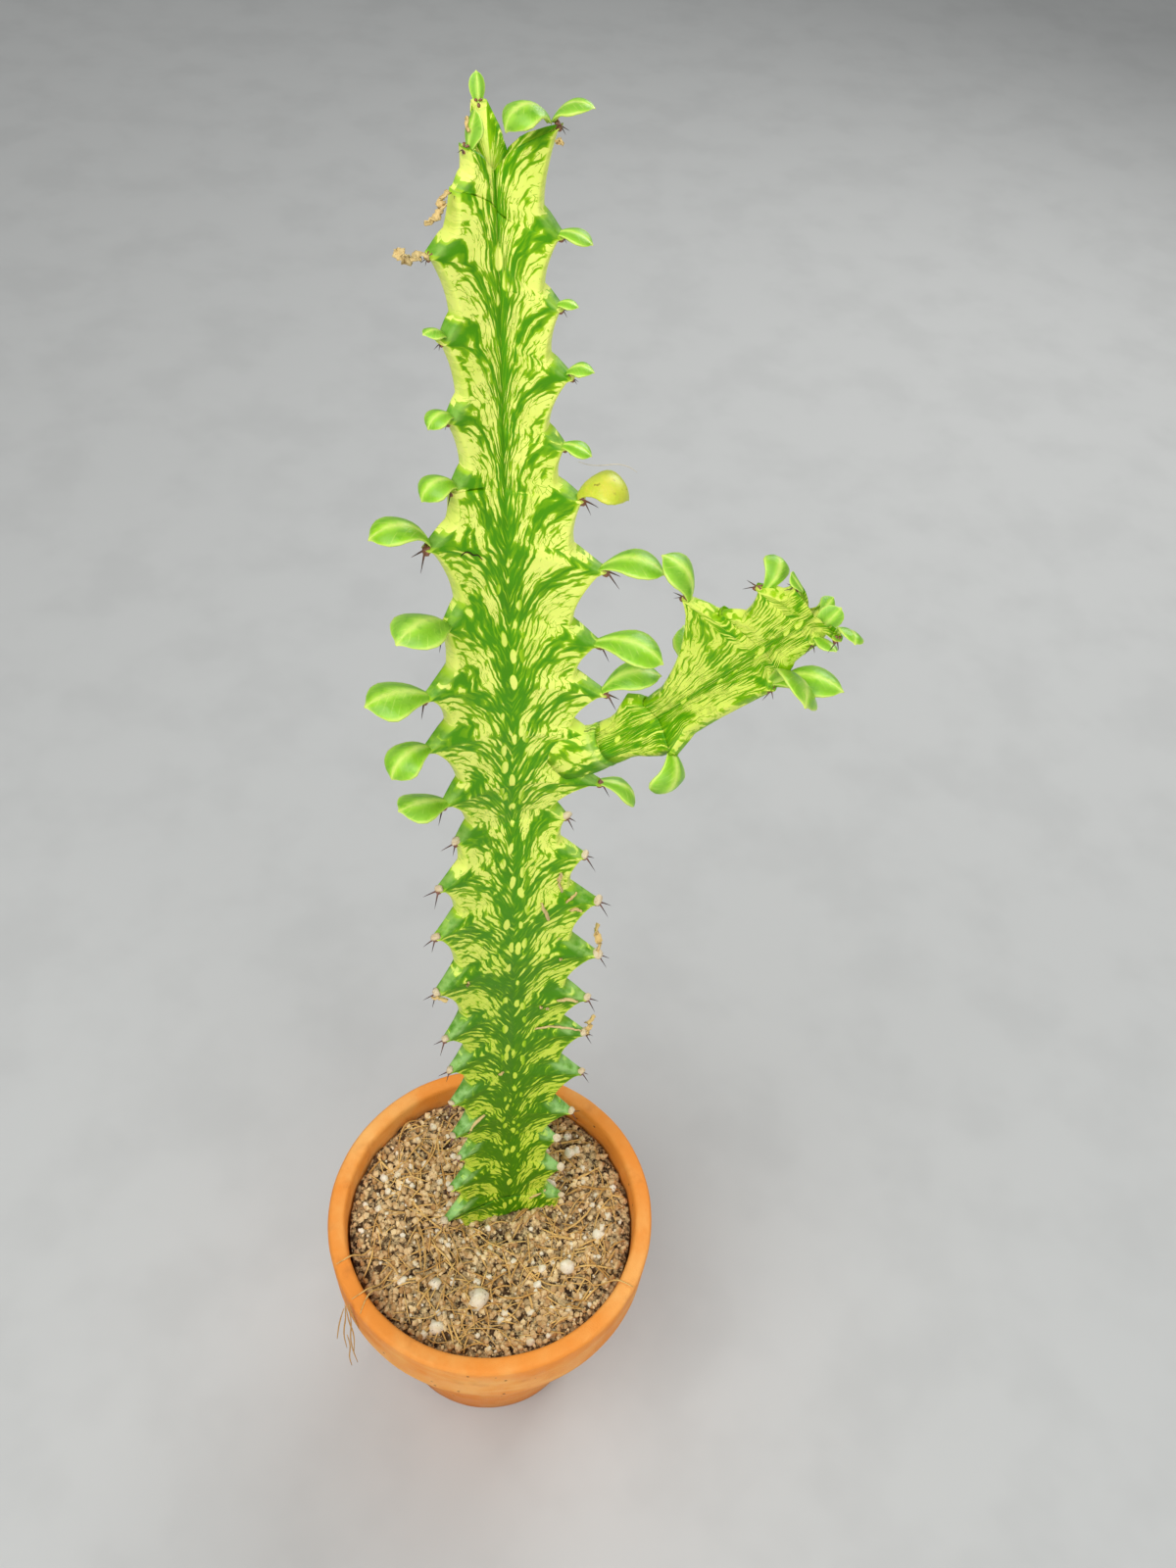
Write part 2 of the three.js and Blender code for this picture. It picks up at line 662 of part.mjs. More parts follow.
function sideBranch() {
  const foot = NECK_REACH.map(([height, reach]) => ({ height, reach }));
  const roundnessAt = (row) => {
    const height = (row[0].height + row[1].height + row[2].height) / 3;
    return { radius: NECK_RADIUS, share: 1 - THREE.MathUtils.smoothstep(height, 1, NECK_BLEND) };
  };
  const rows = ribRows(branchTeeth, foot, BRANCH_VALLEY);
  const body = stemBody(rows, branchFrame, BRANCH_CROWN_SINK, roundnessAt);
  return fused([body, ...growths(branchTeeth, branchFrame, 23, () => BRANCH_SPINE_SHARE)]);
}

function piece(name, solid, colour, roughness) {
  const material = new THREE.MeshStandardMaterial({ color: colour, roughness, metalness: 0 });
  const mesh = new THREE.Mesh(geometryOf(solid), material);
  mesh.name = name;
  return mesh;
}

const plant = new THREE.Group();
plant.add(piece("main_stem", mainStem(), STEM_COLOUR, 0.5));
plant.add(piece("side_branch", sideBranch(), BRANCH_COLOUR, 0.5));

const pottedPlant = new THREE.Group();
pottedPlant.add(piece("terracotta_pot", pot(), CLAY_COLOUR, 0.8));
pottedPlant.add(piece("potting_soil", soil(stemHole()), SOIL_COLOUR, 1));
pottedPlant.add(plant);

export default pottedPlant;
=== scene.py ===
# A potted variegated dragon bones: a three-winged succulent with one side branch, in a clay pot.
# The plant is grown here from its own measures, finer than its solids, so that its ribs, teeth,
# leaves and spines keep their places. It gets a variegated skin, crumbly soil and fired clay.
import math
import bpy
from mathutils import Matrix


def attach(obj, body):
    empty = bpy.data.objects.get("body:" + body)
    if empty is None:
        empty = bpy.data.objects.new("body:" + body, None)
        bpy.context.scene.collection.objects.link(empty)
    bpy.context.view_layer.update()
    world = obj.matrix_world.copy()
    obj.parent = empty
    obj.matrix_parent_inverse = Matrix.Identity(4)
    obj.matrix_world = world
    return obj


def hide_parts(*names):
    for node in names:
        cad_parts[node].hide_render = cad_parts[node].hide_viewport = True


bl_info = {
    "name": "Potted Variegated Dragon Bones",
    "version": (1, 0, 0),
    "blender": (4, 5, 0),
    "location": "3D View > Sidebar > Plant",
    "description": "Variegated three-winged succulent with its soil and its clay pot",
    "category": "Add Mesh",
}

import bmesh
import bpy
import numpy as np
from bpy.props import FloatProperty, FloatVectorProperty, IntProperty, PointerProperty
from mathutils import Matrix, Vector, noise
from mathutils.bvhtree import BVHTree

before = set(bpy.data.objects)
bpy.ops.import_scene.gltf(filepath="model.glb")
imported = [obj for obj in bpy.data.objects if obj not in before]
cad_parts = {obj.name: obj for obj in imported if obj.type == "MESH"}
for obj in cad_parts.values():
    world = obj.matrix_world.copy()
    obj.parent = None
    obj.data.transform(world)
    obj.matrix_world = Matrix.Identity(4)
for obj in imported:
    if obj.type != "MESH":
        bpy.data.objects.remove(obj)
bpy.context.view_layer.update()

# Measures below are in millimetres, and meshes are made in metres
MM = 0.001

# Soil, and the clearance between pieces that rest against each other
SEAT_GAP = 0.35
SOIL_LEVEL = 87
SOIL_LUMP = 1.1
FIBRE_STEP = 1.3

# Large grains of perlite lie where the photograph shows them: x, y and radius
LARGE_GRAINS = [(-3.5, -27, 4), (25, -17, 2.8), (-17, -36, 2.6), (-18, -22, 2.1), (13, -41, 1.7)]
LARGE_GRAINS += [(36, -5, 2.3), (20, 12, 2.4), (27, 24, 2)]

# Pot: its drain holes, the small chamfer of its foot, the level at which roots lie over its lip,
# the radius from which its wall is uneven, and the place on its rim where a tuft of threads hangs
DRAIN_RADIUS = 3.5
DRAIN_CIRCLE = 15
DRAIN_COUNT = 3
FOOT_CHAMFER = 0.8
OVER_LIP = 95.3
UNEVEN_FROM = 25
TUFT_EDGE = (-44.2, -32.5, 93)

# Main stem: its middle line stands behind the pot's middle and bends gently towards -X
STEM_DEPTH = 12
STEM_LEAN = (4.5, -7)
STEM_FACE_AZIMUTH = -77
STEM_FOOT = 50
STEM_FOOT_REACH = 18.5
STEM_SPAN = 375
CROWN_SINK = 7.5

# Each rib's teeth from the soil up: height of the tip, its reach from the middle line, and the
# length of its leaf, 0 where it has fallen, or None where nothing grows. The leaves that the
# photograph shows have their own rise above the tooth, swing about the stem and droop in degrees,
# and width over length, and a crown leaf its own sink and lift of the root from the tooth's tip.
# A tooth may bear a second leaf.
LEFT_TEETH = [
    (101, 27, 0),
    (120, 24, 0),
    (136, 20, 0),
    (153, 22, 0),
    (173, 22, 0),
    (192, 22, 0),
    (210, 23, 0),
    (235, 25, 0),
    (259, 24, 0),
    (277, 22, 0),
    (290, 16, 0),
    (306, 19, 13.2, {"rise": 43, "swing": -8, "droop": 51, "width": 0.68}),
    (327, 23, 13.5, {"rise": 47, "swing": 0, "droop": 141, "width": 0.65}),
    (342, 22, 14.5, {"rise": 43, "swing": -19, "droop": 81, "width": 0.75}),
    (358, 16, 16.4, {"rise": 60, "swing": 5, "droop": 102, "width": 0.68}),
    (380, 19, 15.1, {"rise": 75, "swing": -22, "droop": 131, "width": 0.53}),
    (390, 12, 10.3, {"rise": 66, "swing": -8, "droop": 163, "width": 0.64}),
    (405, 12, 6.7, {"rise": 62, "swing": -3, "droop": 153, "width": 0.64}),
    (421, 12.5, 4.9, {"rise": 69, "swing": -5, "droop": 104, "width": 0.62}),
    (437, 14, 0),
    (446, 7.5, 0),
    (452, 5.5, 5.6, {"rise": 94, "swing": -7, "droop": 21, "width": 0.58, "sink": 0.8, "lift": -1.2}),
]
RIGHT_TEETH = [
    (93, 20, 0),
    (113, 19, 0),
    (132, 17, 0),
    (152, 21, 0),
    (177, 23, 0),
    (199, 23, 0),
    (217, 23, 0),
    (239, 25, 0),
    (262, 24, 0),
    (279, 20, 0),
    (292, 15, 0),
    (307, 23, 14.4, {"rise": 6, "swing": 18, "droop": 113, "width": 0.42}),
    (321, 22, None),
    (336, 23, 15, {"rise": 66, "swing": 20, "droop": 112, "width": 0.52}),
    (350, 21, 16.5, {"rise": 39, "swing": -4, "droop": 99, "width": 0.56}),
    (370, 21.5, 14.7, {"rise": 54, "swing": 2, "droop": 112, "width": 0.53}),
    (386, 16.5, 14.7, {"rise": 78, "swing": 7, "droop": 175, "width": 0.62, "age": 1}),
    (397, 13, 5.9, {"rise": 28, "swing": -3, "droop": 83, "width": 0.64}),
    (412, 14, 5.6, {"rise": 69, "swing": 0, "droop": 126, "width": 0.64}),
    (425, 12, 3.7, {"rise": 51, "swing": 0, "droop": 106, "width": 0.62}),
    (438, 12, 6.1, {"rise": 31, "swing": -2, "droop": 87, "width": 0.62}),
    (
        456,
        11.5,
        7.6,
        {"rise": 72, "swing": -1, "droop": 110, "width": 0.64},
        {"length": 11, "rise": 109, "swing": 45, "droop": 175, "width": 0.67},
    ),
]

# Share of the pitch that is green above a tooth, at heights up each rib
LEFT_BANDS = [(90, 0.3), (150, 0.42), (175, 0.52), (232, 0.5), (255, 0.22)]
LEFT_BANDS += [(295, 0.25), (320, 0.52), (385, 0.5), (400, 0.22), (460, 0.18)]
BACK_BANDS = [(90, 0.4), (300, 0.35), (460, 0.22)]
RIGHT_BANDS = [(90, 0.22), (150, 0.25), (170, 0.55), (225, 0.55), (245, 0.2)]
RIGHT_BANDS += [(310, 0.34), (335, 0.26), (400, 0.22), (460, 0.16)]

# Ribs and teeth of every stem
SCALLOP_DEPTH = 0.31
VALLEY_PLACE = 0.16
CROWN_PLACES = (-0.26, 0, 0.16, 0.42, 0.74, 1)
PITCH_STEPS = (0, 0.03, 0.07, 0.11, 0.16, 0.21, 0.27, 0.35, 0.45, 0.56, 0.67, 0.78, 0.88, 0.95)
FACE_DEPTH = 0.5
MARGIN_HALF = 1.8
TIP_HALF = 1.1
WING_ROOT_HALF = 3
TIP_HOOK = 1.2
WING_PLACES = (0, 0.04, 0.1, 0.18, 0.28, 0.38, 0.5, 0.62, 0.74, 0.86, 0.95)
MARGIN_TURNS = (30, 62)
SOIL_LINE_STEPS = (0.5, 0.6, 0.7, 0.8, 0.88, 0.95)
FACE_SPACING = 137

# Side branch: a round neck on the right rib that widens into three ribs of its own
BRANCH_START = (24.9, 5.2, 321.1)
BRANCH_BEND = (37.5, 3, 332)
BRANCH_END = (62.6, -10.5, 377.5)
BRANCH_FRONT = (-0.63, -0.72, 0.28)
NECK_RADIUS = 5
NECK_BLEND = 15
NECK_REACH = [(0, 5), (2, 5.2), (4, 5.5), (6.5, 6.5), (9, 7.5), (13, 8)]
BRANCH_CROWN_SINK = 3
BRANCH_VALLEY = 9
BRANCH_RIGHT_TEETH = [
    (17, 10, 13.9, {"rise": 11, "swing": 11, "droop": 150, "width": 0.66}),
    (
        48.7,
        8.5,
        18.9,
        {"rise": 90, "swing": -33, "droop": 109, "width": 0.6},
        {"length": 15.7, "rise": 90, "swing": 52, "droop": 97, "width": 0.5},
    ),
    (52, 7.5, None),
    (
        62.2,
        5,
        5.7,
        {"rise": 64, "swing": 11, "droop": 61, "width": 0.63},
        {"length": 6.4, "rise": 106, "swing": -33, "droop": 19, "width": 0.64},
    ),
    (68.5, 7.3, 7.6, {"rise": 90, "swing": 17, "droop": 110, "width": 0.61}),
]
BRANCH_BACK_TEETH = [
    (22, 8.5, 15.2, {"rise": 28, "swing": 68, "droop": 57, "width": 0.58}),
    (42, 12, 10),
    (47, 10.5, None),
    (55, 9.5, 8),
    (62, 6, 3.8, {"rise": 10, "swing": 16, "droop": 10, "width": 0.66}),
]
BRANCH_LEFT_TEETH = [
    (15, 4.8, None),
    (47.2, 19.6, 12.4, {"rise": 68, "swing": -9, "droop": 119, "width": 0.64}),
    (50, 12.5, None),
    (61.3, 12.1, 9.8, {"rise": 90, "swing": -55, "droop": 173, "width": 0.54}),
    (67, 7.2, 3.6, {"rise": 25, "swing": 1, "droop": 5, "width": 0.63}),
]
BRANCH_BANDS = [[(0, 0.95), (12, 0.9), (20, 0.25), (45, 0.45), (55, 0.3), (70, 0.12)]]
BRANCH_BANDS += [[(0, 0.9), (8, 0.8), (18, 0.12), (70, 0.12)], [(0, 0.5), (12, 0.1), (70, 0.08)]]

# The leaf on top of the rib that the photographed face hides
HIDDEN_CROWN_LEAF = (
    4.4,
    {"rise": 78, "swing": 0, "droop": 20, "width": 0.45, "sink": 0.8, "lift": -1.2},
)

# Leaves and spines. Leaves are shrunk a little, so that their finer tips stay in the solids' box.
LEAF_WIDTH_RATIO = 0.62
LEAF_STATIONS = (0, 0.25, 0.5, 0.65, 0.8, 0.91, 0.97, 1)
LEAF_OUTLINE = (0.2, 0.6, 0.96, 1, 0.86, 0.56, 0.24, 0.03)
LEAF_ARCH = 0.16
LEAF_RISE = 55
LEAF_DROOP = 110
LEAF_SINK = 1.6
LEAF_LIFT = 0.4
LEAF_SHRINK = 0.975
BLADE_STATIONS = (0, 0.06, 0.13, 0.21, 0.3, 0.39, 0.48, 0.57)
BLADE_STATIONS += (0.66, 0.74, 0.81, 0.87, 0.92, 0.96, 0.985, 1)
BLADE_PLACES = (-1, -0.86, -0.62, -0.36, -0.13, 0, 0.13, 0.36, 0.62, 0.86, 1)
SPINE_LENGTH = (3.2, 5)
SPINE_SPREAD = 0.5
SPINE_FALL = 0.55
YOUNG_SPINE_SHARE = 0.35
YOUNG_TEETH = (378, 400)
BRANCH_SPINE_SHARE = 0.6

# The camera stands where the photograph was taken from
CAMERA_PLACE = (0, -213.7, 559.6)
CAMERA_YAW = 5.46
CAMERA_PITCH = 48.98
CAMERA_ROLL = 4.79
CAMERA_LENS = 33.75
PICTURE = (1200, 1600)
SENSOR = 36


def linear(hex_colour):
    """An sRGB colour written in hex, as linear numbers."""
    parts = [int(hex_colour[i : i + 2], 16) / 255 for i in (0, 2, 4)]
    return tuple(c / 12.92 if c <= 0.04045 else ((c + 0.055) / 1.055) ** 2.4 for c in parts)


def colour(name, description, hex_colour):
    default = linear(hex_colour)
    return FloatVectorProperty(
        name=name, description=description, default=default, subtype="COLOR", size=3, min=0, max=1
    )


def length(name, description, millimetres):
    default = millimetres * MM
    return FloatProperty(name=name, description=description, default=default, min=0, unit="LENGTH")


def amount(name, description, default, most):
    return IntProperty(name=name, description=description, default=default, min=0, max=most)


def power(name, description, watts):
    return FloatProperty(name=name, description=description, default=watts, min=0, unit="POWER")


class SkinSettings(bpy.types.PropertyGroup):
    deep: colour("Deep green", "Bands and spine of each face", "4e9600")
    shaded: colour("Shaded green", "Deepest green near the soil", "437d02")
    fresh: colour("Fresh green", "Edges between the deep and the pale", "9fcb10")
    pale: colour("Pale green", "Pale patches low on the stem", "cfe44a")
    cream: colour("Cream", "Pale patches high on the stem", "f1fa7c")
    # Partly real blue-grey wax and partly painted sheen, on the ridge above each tooth
    bloom_and_sheen: colour("Waxy bloom", "Blue-grey wax on the ridge above each tooth", "a2cf7c")
    cork: colour("Cork", "Healed scars", "cbb07c")
    cell_width: length("Cell width", "Width of a pale cell across the way it grows", 2.5)
    cell_length: length("Cell length", "Length of a pale cell along the way it grows", 7.5)
    sweep: length("Sweep", "How far a band falls on its way from tooth to face middle", 22)


class LeafSettings(bpy.types.PropertyGroup):
    # Partly the leaf's own green, partly brightened as a painted glow of light through the leaf
    blade: colour("Blade", "Upper side of a leaf", "9cd61a")
    wax: colour("Wax", "Blue-grey wax on a leaf", "b2de62")
    vein: colour("Vein", "Midrib and margin", "e6f67c")
    old: colour("Old leaf", "A leaf that is about to fall", "cdd33c")
    thickness: length("Thickness", "Blade thickness beside the midrib", 0.8)
    dry: colour("Dry leaf", "Shrivelled leaf remains", "d9c48c")


class SpineSettings(bpy.types.PropertyGroup):
    base: colour("Base", "Horn at the foot of a spine", "8a5540")
    tip: colour("Tip", "Horn at the tip of a spine", "2f1c1a")
    shield: colour("Shield", "Brown horn pad that bears the spines", "7a4a22")
    callus: colour("Callus", "Dry scar of a fallen leaf", "e6d6b4")
    radius: length("Radius", "Spine radius at its foot", 0.34)


class SoilSettings(bpy.types.PropertyGroup):
    # Moist dark peat; between the crumbs this dark also stands for painted shade
    dark: colour("Damp peat", "Hollows between the crumbs", "38261a")
    light: colour("Dry peat", "Dry crumbs", "f6d8a0")
    perlite: colour("Perlite", "White grains of perlite", "f4ead4")
    fibre: colour("Root fibre", "Dry roots and coir", "eec67a")
    crumbs: amount("Crumbs", "Number of loose crumbs", 3400, 8000)
    grains: amount("Perlite grains", "Number of perlite grains", 230, 900)
    fibres: amount("Fibres", "Number of loose fibres", 460, 600)


class PotSettings(bpy.types.PropertyGroup):
    height: length("Height", "Pot height", 95)
    rim_radius: length("Rim radius", "Outer radius at the lip", 54)
    rim_wall: length("Rim wall", "Wall thickness of the collar", 5.8)
    lip_round: length("Lip rounding", "Rounding of the lip", 1.6)
    collar_height: length("Collar height", "Height of the collar", 22.4)
    collar_foot_radius: length("Collar foot radius", "Outer radius at the collar's lower edge", 53.2)
    body_top_radius: length("Body top radius", "Outer radius under the collar", 46)
    body_wall: length("Body wall", "Wall thickness of the body", 5)
    foot_radius: length("Foot radius", "Outer radius at the foot", 33.5)
    floor: length("Floor", "Floor thickness", 8)
    clay: colour("Clay", "Fired terracotta", "f2943a")
    light_clay: colour("Worn clay", "Dry, rubbed terracotta", "fec878")
    # Used for iron specks and for the darkening towards the foot
    dark_clay: colour("Dark clay", "Iron specks and damp clay", "b8642a")


class StageSettings(bpy.types.PropertyGroup):
    floor: colour("Floor", "Plain pale floor", "c3c4c2")
    sky: colour("Room light", "Soft light from all round", "f4f6f8")
    key_power: power("Key light", "Power of the large overhead light", 10)
    fill_power: power("Fill light", "Power of the front light", 4.5)


def smoothstep(low, high, value):
    share = np.clip((value - low) / (high - low), 0, 1)
    return share * share * (3 - 2 * share)


def blend(start, end, share):
    return start + (end - start) * share


def unit(vectors):
    vectors = np.asarray(vectors, float)
    return vectors / np.linalg.norm(vectors, axis=-1, keepdims=True)


def random_stream(seed):
    """A repeatable stream of numbers from 0 to 1, the same one that the solids are grown from."""
    mask = 0xFFFFFFFF
    state = seed
    while True:
        state = (state + 0x6D2B79F5) & mask
        mixed = ((state ^ (state >> 15)) * (1 | state)) & mask
        mixed = ((mixed + (((mixed ^ (mixed >> 7)) * (61 | mixed)) & mask)) & mask) ^ mixed
        yield ((mixed ^ (mixed >> 14)) & mask) / 4294967296


def deselect_all():
    for thing in bpy.context.selected_objects:
        thing.select_set(False)


def only(thing):
    """Makes a thing the one that operators act on."""
    deselect_all()
    thing.select_set(True)
    bpy.context.view_layer.objects.active = thing


def mesh_object(name, points, faces, material):
    """A mesh object at the origin from points in millimetres."""
    mesh = bpy.data.meshes.new(name)
    mesh.from_pydata((np.asarray(points) * MM).tolist(), [], [tuple(face) for face in faces])
    mesh.validate()
    mesh.shade_smooth()
    thing = bpy.data.objects.new(name, mesh)
    bpy.context.scene.collection.objects.link(thing)
    mesh.materials.append(material)
    return thing


def point_attribute(thing, name, values):
    layer = thing.data.attributes.new(name, "FLOAT", "POINT")
    layer.data.foreach_set("value", np.asarray(values, np.float32).ravel())


def corner_map(thing, name, values):
    """A UV map, with one pair of numbers for each corner of each face."""
    layer = thing.data.uv_layers.new(name=name)
    layer.data.foreach_set("uv", np.asarray(values, np.float32).ravel())


def finish_piece(thing, slot, *nodes):
    """The piece rides on the pot's body and stands for its solids."""
    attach(thing, "root")
    if nodes:
        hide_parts(*nodes)
    return thing


# Materials


def new_material(name):
    material = bpy.data.materials.new(name)
    material.use_nodes = True
    material.node_tree.nodes.clear()
    return material, material.node_tree


def add_node(tree, kind, inputs=None, **settings):
    """A node with its settings, and its inputs set or linked."""
    node = tree.nodes.new(kind)
    for name, value in settings.items():
        setattr(node, name, value)
    for key, value in (inputs or {}).items():
        if isinstance(value, bpy.types.NodeSocket):
            tree.links.new(value, node.inputs[key])
        else:
            node.inputs[key].default_value = value
    return node


def stain(tree, below, above, share):
    """A colour laid over another one by a share."""
    below = below if isinstance(below, bpy.types.NodeSocket) else (*below, 1)
    above = above if isinstance(above, bpy.types.NodeSocket) else (*above, 1)
    mixed = add_node(tree, "ShaderNodeMix", {0: share, 6: below, 7: above}, data_type="RGBA")
    return mixed.outputs[2]


def calc(tree, operation, *values):
    node = add_node(tree, "ShaderNodeMath", dict(enumerate(values)), operation=operation)
    return node.outputs[0]


def ramp(tree, value, low, high, to_low=0.0, to_high=1.0):
    """A number that runs smoothly from one value to another while the input goes from low to high."""
    inputs = {0: value, 1: low, 2: high, 3: to_low, 4: to_high}
    node = add_node(tree, "ShaderNodeMapRange", inputs, interpolation_type="SMOOTHSTEP")
    return node.outputs[0]


def blotch(tree, place, size, low, high, share, detail=3.0):
    """A share that rises from 0 where cloudy noise of a size in metres goes from low to high."""
    return ramp(tree, mottle(tree, place, size, detail), low, high, 0.0, share)


def stretched(tree, place, size):
    """Coordinates in which one unit is the given size in metres along each axis."""
    scale = tuple(1 / part for part in size)
    node = add_node(tree, "ShaderNodeVectorMath", {0: place, 1: scale}, operation="MULTIPLY")
    return node.outputs[0]


def mottle(tree, place, size, detail=3.0, roughness=0.55):
    """Cloudy noise whose clouds are about the given size in metres."""
    inputs = {"Vector": place, "Scale": 1 / size, "Detail": detail, "Roughness": roughness}
    return add_node(tree, "ShaderNodeTexNoise", inputs).outputs[0]


def surface(tree, base, roughness, height=None, depth=0.0002, **fixed):
    """The shader and the material's output, with relief from a height of 0 to 1."""
    inputs = {"Base Color": base, "Roughness": roughness}
    if height is not None:
        bump = {"Height": height, "Strength": 1.0, "Distance": depth}
        inputs["Normal"] = add_node(tree, "ShaderNodeBump", bump).outputs[0]
    shader = add_node(tree, "ShaderNodeBsdfPrincipled", inputs)
    for name, value in fixed.items():
        shader.inputs[name.replace("_", " ")].default_value = value
    add_node(tree, "ShaderNodeOutputMaterial", {"Surface": shader.outputs[0]})
    return shader


def skin_material(name, creaminess, cell_share):
    """Succulent epidermis: firm and waxy, so it has a broad satin gloss. Chlorophyll is missing in
    pale cells that are long in the direction of growth, and thin green veins run between them."""
    settings = bpy.context.scene.dragon_skin
    material, tree = new_material(name)
    place = add_node(tree, "ShaderNodeTexCoord").outputs["Object"]
    flow = add_node(tree, "ShaderNodeUVMap", uv_map="flow").outputs[0]
    shade, bloom_and_sheen, rim, low, middle = (
        add_node(tree, "ShaderNodeAttribute", attribute_name=part).outputs["Fac"]
        for part in ("shade", "bloom_and_sheen", "rim", "low", "middle")
    )
    width, length = settings.cell_width * cell_share, settings.cell_length

    # Cells wander by a millimetre or two, so that no vein is straight
    vector = "ShaderNodeVectorMath"
    clouding = {"Vector": place, "Scale": 1 / 0.007, "Detail": 3.0}
    wander = add_node(tree, "ShaderNodeTexNoise", clouding).outputs["Color"]
    shift = add_node(tree, vector, {0: wander, 1: (0.5, 0.5, 0.5)}, operation="SUBTRACT").outputs[0]
    reach = {0: shift, "Scale": 0.002 + 0.004 * cell_share}
    shift = add_node(tree, vector, reach, operation="SCALE").outputs[0]
    wandered = add_node(tree, vector, {0: flow, 1: shift}, operation="ADD").outputs[0]

    def cells(share):
        inputs = {"Vector": stretched(tree, wandered, (width * share, length * share, 1)), "Scale": 1.0}
        kinds = {"voronoi_dimensions": "2D", "feature": "DISTANCE_TO_EDGE"}
        return add_node(tree, "ShaderNodeTexVoronoi", inputs, **kinds).outputs["Distance"]

    coarse = cells(1)
    fine = cells(0.42)
    streaks = mottle(tree, stretched(tree, wandered, (width * 0.75, length * 1.3, 1)), 1.0, 3.0)
    patches = mottle(tree, stretched(tree, flow, (width * 2.6, length * 1.6, 1)), 1.0, 2.0)

    # Mostly green where the shade is near 1, broken thin veins where it is near 0. The haze is the
    # mid green of tissue that is nearly pale.
    darkness = calc(tree, "MULTIPLY_ADD", calc(tree, "SUBTRACT", patches, 0.5), 0.9, shade)
    threshold = calc(tree, "MULTIPLY_ADD", darkness, 0.56, -0.13)
    score = calc(tree, "MULTIPLY_ADD", calc(tree, "SUBTRACT", streaks, 0.5), 1.15, coarse)
    low_edge, high_edge = calc(tree, "SUBTRACT", threshold, 0.05), calc(tree, "ADD", threshold, 0.14)
    pale = ramp(tree, score, low_edge, high_edge)
    haze_edge = calc(tree, "SUBTRACT", threshold, 0.27)
    haze = add_node(tree, "ShaderNodeMapRange", {0: score, 1: haze_edge, 2: threshold}).outputs[0]
    broken = ramp(tree, mottle(tree, place, 0.0022, 3.0), 0.46, 0.54)
    fleck = calc(tree, "MULTIPLY", ramp(tree, fine, 0.015, 0.08, 1.0, 0.0), broken)
    unflecked = calc(tree, "SUBTRACT", 1.0, calc(tree, "MULTIPLY", fleck, 0.75))
    pale = calc(tree, "MULTIPLY", pale, unflecked)

    # Ovals of pale tissue 2 mm wide and 6 mm long in the green middle of the face
    sway = add_node(tree, vector, {0: shift, "Scale": 0.35}, operation="SCALE").outputs[0]
    swayed = add_node(tree, vector, {0: place, 1: sway}, operation="ADD").outputs[0]
    ovals = {"Vector": stretched(tree, swayed, (0.0023, 0.0023, 0.0064)), "Scale": 1.0}
    oval = add_node(tree, "ShaderNodeTexVoronoi", ovals, voronoi_dimensions="3D", feature="F1")
    chance = add_node(tree, "ShaderNodeSeparateColor", {0: oval.outputs["Color"]}).outputs[0]
    spot = ramp(tree, oval.outputs["Distance"], 0.3, 0.4, 1.0, 0.0)
    spot = calc(tree, "MULTIPLY", spot, ramp(tree, chance, 0.36, 0.38))
    spot = calc(tree, "MULTIPLY", spot, middle)
    pale = calc(tree, "MAXIMUM", pale, calc(tree, "MULTIPLY", spot, 0.9))
    pale = calc(tree, "MAXIMUM", pale, rim)

    clouds = mottle(tree, place, 0.011)
    deep = stain(tree, settings.deep, settings.shaded, calc(tree, "MULTIPLY", low, 0.9))
    deep = stain(tree, deep, settings.shaded, ramp(tree, clouds, 0.45, 0.75, 0.0, 0.5))
    haze = calc(tree, "MULTIPLY", haze, calc(tree, "MULTIPLY_ADD", low, -0.3, 0.5))
    deep = stain(tree, deep, settings.fresh, haze)
    rich = stain(tree, settings.pale, settings.cream, creaminess)
    high = calc(tree, "SUBTRACT", 1.0, low)
    richness = calc(tree, "MULTIPLY", high, ramp(tree, clouds, 0.25, 0.6, 0.55, 1.0))
    rich = stain(tree, settings.pale, rich, richness)
    tissue = stain(tree, deep, settings.fresh, ramp(tree, pale, 0.0, 0.4))
    tissue = stain(tree, tissue, rich, ramp(tree, pale, 0.3, 0.9))

    # On the ridge above each tooth: partly real wax, partly painted sheen, rubbed off in patches
    rubbed = ramp(tree, mottle(tree, place, 0.003), 0.3, 0.65, 0.1, 0.85)
    waxy = calc(tree, "MULTIPLY", bloom_and_sheen, rubbed)
    ridge = stain(tree, settings.bloom_and_sheen, rich, calc(tree, "MULTIPLY", high, 0.45))
    tissue = stain(tree, tissue, ridge, waxy)
    scar = ramp(tree, mottle(tree, place, 0.0045, 4.0), 0.74, 0.78)
    corky = calc(tree, "MULTIPLY", scar, calc(tree, "MULTIPLY", low, 0.8))
    tissue = stain(tree, tissue, settings.cork, corky)

    grain = mottle(tree, place, 0.0009)
    relief = calc(tree, "MULTIPLY_ADD", pale, 0.5, calc(tree, "MULTIPLY", grain, 0.3))
    roughness = ramp(tree, mottle(tree, place, 0.004), 0.3, 0.7, 0.34, 0.48)
    surface(
        tree,
        tissue,
        roughness,
        relief,
        0.00012,
        Subsurface_Weight=0.1,
        Subsurface_Radius=(0.5, 1.0, 0.2),
        Subsurface_Scale=0.0015,
        Specular_IOR_Level=0.18,
    )
    return material


